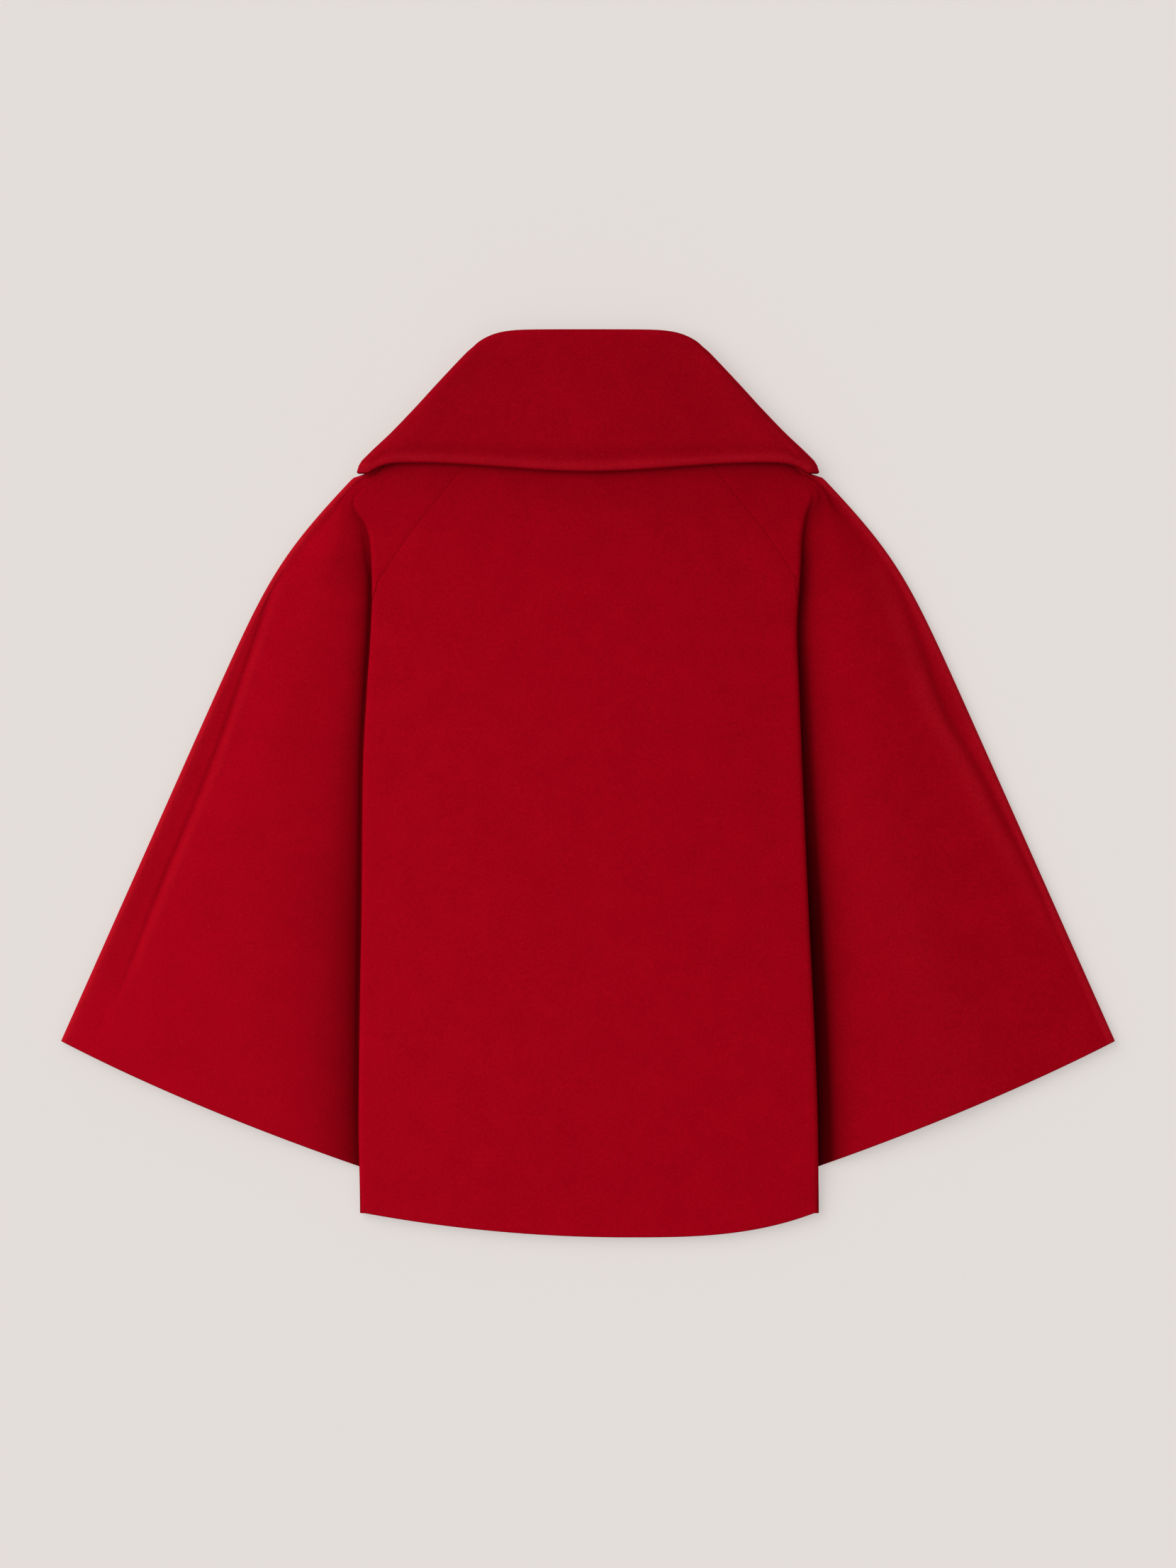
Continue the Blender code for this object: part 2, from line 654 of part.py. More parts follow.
def sleeve_vertex(side, y, u):
    """A point of the sleeve at nominal row y and station u, with the neck and the cuff curved."""
    top = neck_share(y, TOP_EASE)
    low = min(max((CUFF_CURVE_FROM - y) / (CUFF_CURVE_FROM - UNDERARM_Y), 0.0), 1.0)
    seam_x = Section(side, y).point(seam_station(side, y))[0] if y > WRAP_FROM else 0.0
    on_back = u < (ROLL_START + ROLL_END) / 2
    here = y
    for _ in range(3):
        section = Section(side, here)
        x, z = section.point(u)
        share = min(max((x - section.edge) / (section.half - section.edge), 0.0), 1.0)
        inner_x = seam_x if on_back else section.front_seam_x()
        out = min(max((x - inner_x) / (section.half - HALF_WALL - inner_x), 0.0), 1.0)
        if on_back:
            neck = neck_back_y(lerp(BACK_NECK_HALF, NECK_POINT_X, out))
        else:
            neck = neck_front_y(lerp(FRONT_NECK_HALF, NECK_POINT_X, out))
        here = y + top * (neck - neck_back_y(BACK_NECK_HALF)) + low * CUFF_RISE * share
    section = Section(side, here)
    section.cuff_share = share
    x, z = section.point(u)
    return side * x, here, z


def hem_share(y):
    """How strongly a row at y follows the hem: 1 on the last row, 0 well above the underarm."""
    return smooth((UNDERARM_Y + HEM_EASE - y) / (UNDERARM_Y + HEM_EASE - HEM_ROWS[-1]))


def back_vertex(side, y, u):
    """A point of the back at nominal row y and station u, with the neck and the hem curved."""
    section = Section(side, y)
    if u >= FOLD_START:
        x, z = section.point(u)
        return side * x, y, z
    x = section.point(u)[0]
    seam_x = section.point(min(seam_station(side, y), FOLD_START))[0]
    neck_x = BACK_NECK_HALF * min(x / seam_x, 1.0)
    here = y + neck_share(y, BACK_TOP_EASE) * (neck_back_y(neck_x) - neck_back_y(BACK_NECK_HALF))
    hem_x = side * HEM_SIDE_X * x / section.start_x
    here += hem_share(y) * (hem_y(hem_x) - hem_y(side * HEM_SIDE_X))
    return side * x, here, Section(side, here).dome(x)


class Cloth:
    """A sheet gathered from grids of points, later given its thickness."""

    def __init__(self, name):
        self.name = name
        self.points = []
        self.index = {}
        self.faces = []

    def vertex(self, key, point):
        """The index of the point with this key, added once."""
        if key not in self.index:
            self.index[key] = len(self.points)
            self.points.append(tuple(c * MM for c in point))
        return self.index[key]

    def face(self, corners, flip):
        """A face on these corners, turned over where flip is set."""
        ring = list(dict.fromkeys(corners))
        if len(ring) > 2:
            self.faces.append(ring[::-1] if flip else ring)

    def join_rows(self, upper, lower, flip):
        """Faces between two rows of indices; the longer row's extra points fan to the other's end."""
        shared = min(len(upper), len(lower))
        for k in range(shared - 1):
            self.face((upper[k], lower[k], lower[k + 1], upper[k + 1]), flip)
        for k in range(shared - 1, len(lower) - 1):
            self.face((upper[-1], lower[k], lower[k + 1]), flip)
        for k in range(shared - 1, len(upper) - 1):
            self.face((upper[k], lower[-1], upper[k + 1]), flip)

    def build(self, collection, wall, material):
        """The finished object: the sheet with Solidify, shaded smooth."""
        mesh = bpy.data.meshes.new(self.name)
        mesh.from_pydata(self.points, [], self.faces)
        tidy = bmesh.new()
        tidy.from_mesh(mesh)
        bmesh.ops.remove_doubles(tidy, verts=tidy.verts, dist=0.01 * MM)
        tidy.to_mesh(mesh)
        tidy.free()
        mesh.materials.append(material)
        mesh.shade_smooth()
        obj = bpy.data.objects.new(self.name, mesh)
        collection.objects.link(obj)
        thick = obj.modifiers.new("Wall", "SOLIDIFY")
        thick.thickness = wall * MM
        thick.offset = 0.0
        return obj


def build_back():
    """The back panel, both halves in one sheet."""
    cloth = Cloth("back")
    rows = row_table() + [(y, LAST_SEAM_COLUMN) for y in HEM_ROWS]
    for side in (-1, 1):
        made = []
        for j, (y, column) in enumerate(rows):
            row = []
            for k, u in enumerate(back_stations(side, y, column)):
                key = (j, 0) if k == 0 else (j, k, side)
                row.append(cloth.vertex(key, back_vertex(side, y, u)))
            made.append(row)
        for upper, lower in zip(made, made[1:]):
            cloth.join_rows(upper, lower, side < 0)
    return cloth


def build_sleeve(side):
    """One raglan sleeve, cut in one over the shoulder, from the back's seam to the front's."""
    cloth = Cloth("sleeve_right" if side > 0 else "sleeve_left")
    made = []
    for j, (y, column) in enumerate(row_table()):
        stations = sleeve_stations(side, y, column)
        gap = SEAM_GAP if y > WRAP_FROM else TUCK_GAP if y <= WRAP_TO else WRAP_GAP
        stations[0] = advanced(Section(side, y), stations[0], gap)
        row = [cloth.vertex((j, k), sleeve_vertex(side, y, u)) for k, u in enumerate(reversed(stations))]
        made.append(row)
    for upper, lower in zip(made, made[1:]):
        cloth.join_rows(upper, lower, side > 0)
    return cloth


def front_vertex(side, y, k):
    """A point of the front on the row at y: the curl at the side seam first, then the flat front."""
    back = Section(side, y)
    if y >= UNDERARM_Y:
        edge_x, curl = back.front_seam_x() - SEAM_GAP, 0.0
        start_x = edge_x - CURL_LENGTH
        length = CURL_LENGTH
    else:
        end_x, end_z = back.point(seam_station(side, y))
        rise = end_z - SIDE_SEAM_GAP - HALF_WALL
        opened = smooth((UNDERARM_Y - y) / SIDE_SEAM_OPENING)
        curl = math.pi / 2 * opened
        length = lerp(CURL_LENGTH, rise * math.pi / 2, opened) - CURL_CLEARANCE * math.sin(math.pi * opened)
        start_x = lerp(back.edge - FRONT_INSET - SEAM_GAP - CURL_LENGTH, end_x - rise, opened)
    if k <= CURL_STEPS:
        x, z, _ = turned(start_x, HALF_WALL, 0.0, length, curl, 1 - k / CURL_STEPS)
        lift = floor_height(x, y) - HALF_WALL
        return x, z + lift
    x = start_x * (1 - (k - CURL_STEPS) / FRONT_STEPS) + SEAM_GAP / 2 * (k - CURL_STEPS) / FRONT_STEPS
    return x, floor_height(x, y)


def build_front(side):
    """One front panel on the hidden side, from the sleeve and the side seam to the centre front."""
    cloth = Cloth("front_right" if side > 0 else "front_left")
    neck_shift = neck_front_y(FRONT_NECK_HALF) - neck_back_y(BACK_NECK_HALF)
    made = []
    for j, y in enumerate([y for y, _ in row_table()] + list(HEM_ROWS)):
        top = neck_share(y, TOP_EASE)
        seam_y = y + top * (neck_shift - SEAM_GAP)
        seam_x = front_vertex(side, seam_y, 0)[0]
        edge_x = front_vertex(side, seam_y, CURL_STEPS)[0]
        row = []
        for k in range(CURL_STEPS + FRONT_STEPS + 1):
            x, z = front_vertex(side, seam_y, k)
            across = min(x / seam_x, 1.0)
            drop = neck_front_y(FRONT_NECK_HALF * across) - neck_front_y(FRONT_NECK_HALF)
            here = seam_y + top * drop
            if k >= CURL_STEPS:
                share = x / edge_x
                rise = hem_y(side * HEM_SIDE_X * share) - hem_y(side * HEM_SIDE_X)
                here += hem_share(y) * (rise + FRONT_HEM_SHORTER * (1 - share))
                z = floor_height(x, here)
            row.append(cloth.vertex((j, k), (side * x, here, z)))
        made.append(row)
    for upper, lower in zip(made, made[1:]):
        cloth.join_rows(upper, lower, side > 0)
    return cloth


def panel_top(side, x, y):
    """The top face of the back and shoulders at x, y, carried on smoothly above the neck."""
    return Section(side, y).dome(x) + HALF_WALL


def collar_lower_y(x):
    """The lower edge of the collar across the back: nearly straight, dipping at the tips."""
    rise = COLLAR_LOWER_RISE * smooth(abs(x) / COLLAR_RISE_X)
    depth = COLLAR_LOWER_Y + COLLAR_LOWER_RISE - COLLAR_TIP_Y
    share = min(max((abs(x) - COLLAR_DIP_X) / (COLLAR_TIP_X - COLLAR_DIP_X), 0.0), 1.0)
    dip = depth * share**COLLAR_DIP_POWER
    return COLLAR_LOWER_Y + rise - dip


class CollarHalf:
    """One half of the collar: p runs from the centre back (0) over the side (1 to 2) to the front (3),
    q from the neck seam (0) up the stand to the fold (1 to 2) and down the fall to its edge (3)."""

    def __init__(self, side):
        self.side = side

    def side_x(self, g):
        """The outer face of the collar's side, a share g down the fall."""
        return lerp(COLLAR_CORNER_X, COLLAR_TIP_X, g)

    def side_y(self, g):
        """Where the fall's side is at the share g: a slope, a little hollow, rounded in at the tip."""
        return COLLAR_SIDE.at("sum", g) - self.side_x(g)

    def fall_z(self, x, y, g):
        """Mid-height of the fall on the back."""
        lift = COLLAR_FOLD_LIFT * (1 - smooth(g / 0.5))
        return panel_top(self.side, x, y) + COLLAR_REST + HALF_COLLAR + lift

    def loop(self, p, roll_x, radius, low_z):
        """The (x, z, share across) of a point round a flattened loop; share is 1 at the roll."""
        if p <= 1:
            return roll_x * p, None, p
        if p <= 2:
            angle = math.pi * (p - 1)
            return roll_x + radius * math.sin(angle), low_z + radius * (1 + math.cos(angle)), 1.0
        return lerp(roll_x, COLLAR_FRONT_GAP, p - 2), low_z, 1 - (p - 2)

    def fall(self, p, g):
        """A point on the fall."""
        side_y = self.side_y(g)
        edge = self.side_x(g) - HALF_COLLAR
        high = self.fall_z(edge, side_y, g)
        radius = (high - HALF_COLLAR) / 2
        roll_x = edge - radius
        x, z, share = self.loop(p, roll_x, radius, HALF_COLLAR)
        tip_x = COLLAR_TIP_X - HALF_COLLAR - radius
        if p < 1.5:
            fold = lerp(COLLAR_FOLD_Y, COLLAR_CORNER_Y, share**BACK_FOLD_POWER)
            y = lerp(fold, collar_lower_y(COLLAR_TIP_X * share), g)
        else:
            fold = lerp(COLLAR_FRONT_FOLD_Y, COLLAR_CORNER_Y, share**FRONT_FOLD_POWER)
            y = lerp(fold, collar_front_lower_y(COLLAR_TIP_X * share), g)
        bow = side_y - lerp(COLLAR_CORNER_Y, COLLAR_TIP_Y, g)
        y += bow * share * share
        return Vector((x, y, self.fall_z(x, y, g) if z is None else z))

    def stand(self, p, h):
        """A point on the stand, a share h up from the neck seam."""
        edge = lerp(STAND_NECK_X, STAND_CORNER_X, h) - HALF_COLLAR
        low_z = STAND_FRONT_Z + STAND_FRONT_LIFT * h
        side_y = lerp(NECK_POINT_Y, COLLAR_CORNER_Y, h)
        high = panel_top(self.side, edge, side_y) - HALF_WALL - STAND_DROP
        radius = (high - low_z) / 2
        x, z, share = self.loop(p, edge - radius, radius, low_z)
        if p < 1.5:
            fold = lerp(COLLAR_FOLD_Y, COLLAR_CORNER_Y, share**BACK_FOLD_POWER)
            y = lerp(neck_back_y(x), fold, h)
        else:
            fold = lerp(COLLAR_FRONT_FOLD_Y, COLLAR_CORNER_Y, share**FRONT_FOLD_POWER)
            y = lerp(neck_front_y(x), fold, h)
        if z is None:
            z = panel_top(self.side, x, y) - HALF_WALL - STAND_DROP
        return Vector((x, y, z))

    def point(self, p, q):
        """A point of the collar's mid-surface, at its own side of the garment."""
        if q <= 1:
            found = self.stand(p, q)
        elif q < 2:
            inner, outer = self.stand(p, 1.0), self.fall(p, 0.0)
            away = outer - self.fall(p, 1.0)
            away.x *= FOLD_LEAN
            away.z = 0.0
            angle = math.pi * (q - 1)
            middle, half = (inner + outer) / 2, (inner - outer) / 2
            found = middle + half * math.cos(angle)
            found += away.normalized() * COLLAR_FOLD_BULGE * math.sin(angle)
        else:
            found = self.fall(p, q - 2)
        return self.side * found.x, found.y, found.z


def build_collar():
    """The collar: stand, fold and fall in one sheet from one centre front round to the other."""
    cloth = Cloth("collar")
    around = [k / COLLAR_BACK_STEPS for k in range(COLLAR_BACK_STEPS + 1)]
    around += [1 + k / COLLAR_ROLL_STEPS for k in range(1, COLLAR_ROLL_STEPS + 1)]
    around += [2 + k / COLLAR_FRONT_STEPS for k in range(1, COLLAR_FRONT_STEPS + 1)]
    across = [k / STAND_STEPS for k in range(STAND_STEPS + 1)]
    across += [1 + k / COLLAR_FOLD_STEPS for k in range(1, COLLAR_FOLD_STEPS)]
    across += [2 + k / FALL_STEPS for k in range(FALL_STEPS + 1)]
    for side in (-1, 1):
        half = CollarHalf(side)
        made = []
        for j, q in enumerate(across):
            row = []
            for k, p in enumerate(around):
                key = (j, 0) if k == 0 else (j, k, side)
                row.append(cloth.vertex(key, half.point(p, q)))
            made.append(row)
        for upper, lower in zip(made, made[1:]):
            cloth.join_rows(upper, lower, side < 0)
    return cloth


def main():
    """Clears the scene and builds the garment's pieces."""
    for obj in list(bpy.data.objects):
        bpy.data.objects.remove(obj, do_unlink=True)
    collection = bpy.data.collections.new("cape_jacket")
    bpy.context.scene.collection.children.link(collection)
    pieces = [(build_back(), WALL, WOOL)]
    pieces += [(build_sleeve(side), WALL, WOOL) for side in (-1, 1)]
    pieces += [(build_front(side), WALL, WOOL) for side in (-1, 1)]
    pieces += [(build_collar(), COLLAR_WALL, COLLAR_WOOL)]
    for cloth, wall, colour in pieces:
        material = bpy.data.materials.new("wool_" + cloth.name)
        material.use_nodes = True
        shader = material.node_tree.nodes["Principled BSDF"]
        shader.inputs["Base Color"].default_value = colour
        shader.inputs["Roughness"].default_value = 0.95
        shader.inputs["Metallic"].default_value = 0.0
        cloth.build(collection, wall, material)


main()
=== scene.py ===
"""Dresses a short cape jacket in felted wool, laid flat on its front with its back up.

X runs across the garment, +Y from the hem to the collar and +Z up from the floor. Sizes are
millimetres until a mesh is made. The cross-section of one half is a path of stations: it starts at
the centre back (0), runs out to the folded edge of the back (1 to 2), tucks under it (2 to 3), comes
out again as the sleeve (3 to 4), crosses to the outer roll (7 to 8) and returns along the floor to
the front's seam (9) and the centre front (10).
"""

import logging
import math
from dataclasses import dataclass, field, replace
from enum import Enum

import bmesh
import bpy
import numpy as np
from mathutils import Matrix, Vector


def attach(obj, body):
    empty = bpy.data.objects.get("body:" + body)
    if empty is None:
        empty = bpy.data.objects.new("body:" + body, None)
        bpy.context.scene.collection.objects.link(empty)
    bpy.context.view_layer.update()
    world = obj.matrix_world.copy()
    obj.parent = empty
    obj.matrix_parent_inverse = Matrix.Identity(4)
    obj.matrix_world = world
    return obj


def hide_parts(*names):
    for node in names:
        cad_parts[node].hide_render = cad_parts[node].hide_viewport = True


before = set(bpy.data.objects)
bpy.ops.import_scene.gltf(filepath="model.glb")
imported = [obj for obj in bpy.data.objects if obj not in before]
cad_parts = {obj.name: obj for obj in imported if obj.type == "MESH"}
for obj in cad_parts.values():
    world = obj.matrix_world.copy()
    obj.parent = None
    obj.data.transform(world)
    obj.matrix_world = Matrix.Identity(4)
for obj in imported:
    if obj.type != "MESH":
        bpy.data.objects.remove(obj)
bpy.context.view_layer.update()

Array = np.ndarray
Colour = tuple[float, float, float]
LOG = logging.getLogger("cape_jacket")
MM = 0.001
MERGE = 1e-6
STRAIGHT = 1e-5
SNAP = 0.4


class Side(Enum):
    """One half of the garment, named as the back is seen; the value is the sign of X there."""

    LEFT = -1
    RIGHT = 1

    @property
    def label(self) -> str:
        """The side's name in the names of pieces."""
        return self.name.lower()


class Slot(Enum):
    """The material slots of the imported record."""

    BODY = "body_wool"
    SLEEVE = "sleeve_wool"
    COLLAR = "collar_wool"


class Station:
    """The stations along a cross-section."""

    FOLD = 1.0
    TURNED = 2.0
    TUCKED = 3.0
    SLEEVE = 4.0
    ROLL = 7.0
    UNDER = 8.0
    FRONT_SEAM = 9.0
    CENTRE_FRONT = 10.0


def lerp(a: Array, b: Array, t: Array) -> Array:
    """The value a share t of the way from a to b."""
    return a + (b - a) * t


def smooth(t: Array) -> Array:
    """A soft step from 0 to 1."""
    t = np.clip(t, 0.0, 1.0)
    return t * t * (3 - 2 * t)


def through(start: float, *stops: tuple[float, int]) -> Array:
    """Values from the start through each stop, in the given number of even steps."""
    made = [start]
    for stop, count in stops:
        last = made[-1]
        made += [last + (stop - last) * k / count for k in range(1, count + 1)]
    return np.array(made)


@dataclass(frozen=True)
class Profile:
    """Rows of named columns, the first of them y, read smoothly at any y."""

    names: tuple[str, ...]
    rows: tuple[tuple[float, ...], ...]

    def at(self, name: str, y: Array) -> Array:
        """Reads one column.

        Args:
            name: the column's name.
            y: where to read it.

        Returns:
            The values, held beyond the first and the last row.
        """
        rows = np.array(sorted(self.rows), dtype=float)
        keys, values = rows[:, 0], rows[:, self.names.index(name)]
        widths = np.diff(keys)
        rises = np.diff(values) / widths
        product, total = rises[:-1] * rises[1:], rises[:-1] + rises[1:]
        slopes = np.zeros(len(keys))
        slopes[1:-1] = np.where(product > 0, 2 * product / np.where(product > 0, total, 1.0), 0.0)
        i = np.clip(np.searchsorted(keys, y, side="right") - 1, 0, len(keys) - 2)
        t = np.clip((y - keys[i]) / widths[i], 0.0, 1.0)
        return (
            values[i] * (1 + 2 * t) * (1 - t) ** 2
            + slopes[i] * widths[i] * t * (1 - t) ** 2
            + values[i + 1] * t * t * (3 - 2 * t)
            + slopes[i + 1] * widths[i] * t * t * (t - 1)
        )


def table(names: str, *rows: tuple[float, ...]) -> Profile:
    """A profile from its column names, set apart by spaces, and its rows."""
    return Profile(tuple(names.split()), rows)


@dataclass(frozen=True)
class Outline:
    """The garment's outline from above."""

    shoulder_reach: float = 458.3
    side_at_zero: float = 348.9
    side_flare: float = 0.4455
    shoulder_softness: float = 13.7
    collar_squeeze: float = 8.5
    squeeze_from: float = 257.5
    squeeze_to: float = 262.5
    underarm_y: float = -323.5
    cuff_rise: float = 106.0
    cuff_curve_from: float = 150.0
    hem_lowest: float = -384.3
    hem_lowest_x: float = 35.0
    hem_side_rise: float = 20.5
    hem_side_x: float = 193.5
    hem_left_power: float = 2.0
    hem_right_power: float = 2.9
    hem_row: float = -363.0

    def half_width(self, y: Array) -> Array:
        """Half the width at y: the shoulder line runs softly into the flared side."""
        shoulder = self.shoulder_reach - y
        side = self.side_at_zero - self.side_flare * y
        apart = np.abs(shoulder - side) / self.shoulder_softness
        blend = self.shoulder_softness * np.log1p(np.exp(-apart))
        squeeze = smooth((y - self.squeeze_from) / (self.squeeze_to - self.squeeze_from))
        return np.minimum(shoulder, side) - blend - self.collar_squeeze * squeeze

    def hem_y(self, x: Array) -> Array:
        """The curved hem, lowest a little right of the centre."""
        left = (self.hem_lowest_x - x) / (self.hem_lowest_x + self.hem_side_x)
        right = (x - self.hem_lowest_x) / (self.hem_side_x - self.hem_lowest_x)
        share = np.where(
            x < self.hem_lowest_x,
            np.clip(left, 0, 1) ** self.hem_left_power,
            np.clip(right, 0, 1) ** self.hem_right_power,
        )
        return self.hem_lowest + self.hem_side_rise * share


@dataclass(frozen=True)
class NeckLine:
    """The neck seam, from the centre out to the neck point at the shoulder."""

    back_y: float = 318.0
    front_y: float = 285.0
    point_x: float = 110.7
    point_y: float = 338.0
    back_half: float = 60.0
    front_half: float = 50.0
    front_power: float = 1.6
    first_row: float = 322.8

    def back(self, x: Array) -> Array:
        """The seam along the back at x."""
        return lerp(self.back_y, self.point_y, np.minimum(np.abs(x) / self.point_x, 1.0) ** 2)

    def front(self, x: Array) -> Array:
        """The seam along the front at x."""
        share = np.minimum(np.abs(x) / self.point_x, 1.0) ** self.front_power
        return lerp(self.front_y, self.point_y, share)

    def share(self, y: Array, ease: float) -> Array:
        """How strongly a row at y follows the seam: 1 on the first row, 0 below the ease."""
        return np.clip(1 - (self.first_row - y) / ease, 0.0, 1.0)


@dataclass(frozen=True)
class CollarForm:
    """The collar's sizes: a stand, a fold and a fall, with pointed fronts on the floor."""

    wall: float = 4.0
    bulge: float = 3.2
    lift: float = 1.3
    lift_over: float = 0.5
    lean: float = 0.4
    top_y: float = 384.3
    corner_x: float = 96.5
    corner_y: float = 369.5
    tip_x: float = 196.2
    tip_y: float = 262.4
    edge_y: float = 263.7
    edge_rise: float = 7.5
    rise_x: float = 155.0
    dip_x: float = 165.0
    dip_power: float = 2.5
    back_power: float = 8.0
    front_power: float = 1.3
    front_fold_y: float = 322.0
    front_edge_y: float = 197.0
    front_edge_power: float = 1.5
    front_gap: float = 2.0
    rest: float = 0.5
    stand_corner_x: float = 89.5
    stand_drop: float = 0.9
    stand_front_z: float = 6.7
    stand_front_lift: float = 0.9

    @property
    def fold_y(self) -> float:
        """The mid-line of the top fold at the centre back."""
        return self.top_y - self.wall / 2 - self.bulge

    def fold_lines(self, share: Array) -> tuple[Array, Array]:
        """The top fold's y on the back and on the front, a share of the way to its corner."""
        back = lerp(self.fold_y, self.corner_y, share**self.back_power)
        return back, lerp(self.front_fold_y, self.corner_y, share**self.front_power)

    def front_edge(self, x: Array) -> Array:
        """The lower edge on the hidden front."""
        share = np.minimum(np.abs(x) / self.tip_x, 1.0) ** self.front_edge_power
        return lerp(self.front_edge_y, self.tip_y, share)

    def back_edge(self, x: Array) -> Array:
        """The lower edge across the back: nearly straight, dipping at the tips."""
        rise = self.edge_rise * smooth(np.abs(x) / self.rise_x)
        depth = self.edge_y + self.edge_rise - self.tip_y
        share = np.clip((np.abs(x) - self.dip_x) / (self.tip_x - self.dip_x), 0.0, 1.0)
        return self.edge_y + rise - depth * share**self.dip_power


@dataclass(frozen=True)
class FoldForm:
    """How the cloth turns at the folded edges of the back and at the outer roll of the sleeves."""

    wall: float = 2.2
    radius: float = 3.0
    least_turn: float = 2.4
    least_angle: float = 0.08
    outer_roll: float = 3.4
    cuff_sag: float = 0.36
    cuff_sag_reach: float = 120.0
    front_inset: float = 8.0
    seam_low_x: float = 172.0
    seam_low_y: float = 125.0
    curl_length: float = 6.0
    curl_clearance: float = 1.6
    side_opening: float = 10.0
    collar_lift: float = 4.7
    collar_lift_reach: float = 30.0
    folds_from: float = 14.0
    folds_over: float = 60.0

    @property
    def half_wall(self) -> float:
        """Half the thickness of the cloth."""
        return self.wall / 2


EDGE = table(
    "y left right",
    (338, 92, 92), (300, 126, 126), (270, 158, 158), (255, 177, 176), (248, 189, 186),
    (242, 194.6, 187.6), (235.5, 196.6, 186.8), (229, 194.2, 184.8), (222, 189.8, 183.2),
    (214, 186.2, 181.9), (205.5, 184.6, 180.9), (190.5, 183.4, 180.3), (165, 182.7, 178.8),
    (130, 183.8, 176.9), (85, 186.8, 178.5), (10, 190.5, 181.5), (-110, 191.7, 186.8),
    (-200, 193.3, 191.3), (-290, 194.1, 194.5), (-325, 193.5, 195), (-363, 192.9, 195.3),
)

TURN = table(
    "y turn tuck",
    (338, 0, 1.5), (268, 0, 1.5), (256, 6, 1.5), (248, 14, 1.5), (240, 32, 1.5), (232, 55, 1.5),
    (222, 78, 1.5), (208, 95, 1.5), (192, 112, 1.8), (176, 140, 2.5), (162, 166, 4.5),
    (150, 180, 9),
    (130, 180, 20), (60, 180, 22), (-240, 180, 22), (-290, 180, 13), (-323.5, 180, 3),
    (-333.5, 158, 2), (-350, 90, 1), (-363, 90, 1),
)

HEIGHT = table(
    "y centre left right",
    (384, 19.5, 15.6, 15.6), (338, 21, 15.8, 15.8), (300, 22.5, 16, 16), (262, 24, 16.6, 16.6),
    (235, 25, 17.8, 18), (200, 26, 19.8, 20.2), (120, 27.5, 21, 21.4), (0, 27.5, 21, 21.4),
    (-150, 26, 20.2, 20.8), (-260, 22, 17.8, 18.4), (-323.5, 17.6, 14.7, 14.9),
    (-345, 14.6, 12, 12),
    (-363, 12.2, 10.6, 10.6), (-385, 10.4, 9.6, 9.6),
)

SLEEVE_COLUMNS = "y foot near_x near shoulder_x shoulder crest_x crest inset step under"

LEFT_SLEEVE = table(
    SLEEVE_COLUMNS,
    (338, 2, 5, 1, 8, 1.1, 10, 1.2, 6.5, 0, 3), (262, 2, 5, 1, 8, 1.1, 10, 1.2, 6.5, 0, 3),
    (240, 2.5, 5.5, 1.2, 9, 2, 14, 2.5, 6.5, 0, 2.4),
    (215, 3, 6.5, 2.4, 17, 4.4, 32, 5.6, 6.5, 0, 2.8),
    (190, 3.4, 7, 3, 20, 6, 48, 8.2, 7, 0.2, 3.2),
    (160, 3.6, 7.5, 3.6, 22, 7.6, 60, 10.4, 8.5, 2, 3.6),
    (103, 3.6, 7.5, 4.2, 25, 8.8, 70, 12, 17.5, 3.6, 3.8),
    (0, 3.6, 7.5, 4.2, 28, 9.2, 78, 12.8, 26.5, 4.2, 3.8),
    (-110, 3.6, 8, 4, 31, 9.2, 84, 13, 30.6, 4.2, 3.8),
    (-165, 3.6, 8, 4, 32, 9, 86, 12.6, 33, 3.4, 3.6),
    (-205, 3.6, 8, 3.8, 32, 8.6, 86, 12, 34, 2, 3.4),
    (-290, 3.4, 7.5, 3.2, 30, 7.4, 82, 10.4, 34, 1, 2.5),
    (-323.5, 3.2, 7, 2.8, 28, 6.6, 78, 9.4, 34, 0.8, 1.9),
)

RIGHT_SLEEVE = table(
    SLEEVE_COLUMNS,
    (338, 2, 5, 1, 8, 1.1, 10, 1.2, 6.5, 0, 3), (262, 2, 5, 1, 8, 1.1, 10, 1.2, 6.5, 0, 3),
    (240, 3, 7, 1.2, 10, 1.8, 14, 2.2, 6.5, 0, 2), (215, 5, 12, 2, 20, 3.8, 32, 5, 6.5, 0, 2.2),
    (190, 6.5, 13, 3.4, 26, 6, 44, 7.6, 8, 0.6, 2.6),
    (160, 7, 13.5, 4.6, 29, 7.8, 52, 9.6, 12.5, 1.6, 3),
    (103, 8, 14, 5.4, 31, 9, 56, 11, 19.5, 3, 3.6),
    (58, 8, 14.5, 5.8, 32, 9.6, 58, 11.6, 23, 3.6, 3.9),
    (0, 8.5, 15, 6, 33, 10.2, 60, 12.2, 16.4, 3.2, 4.2),
    (-60, 9.5, 15.5, 6.2, 35, 10.8, 62, 12.8, 12, 2.4, 4.5),
    (-121, 10, 16, 6.4, 36, 11.2, 64, 13.2, 8, 1, 4.8),
    (-165, 10, 16, 6.4, 36, 11.2, 66, 13.2, 8, 0.2, 4.8),
    (-230, 9.5, 15.5, 6, 36, 10.4, 68, 12.2, 8, 0, 4.2), (-290, 9, 15, 5, 34, 9, 68, 10.6, 8, 0, 3),
    (-323.5, 9, 15, 4.4, 33, 8, 68, 9.6, 8, 0, 2.1),
)

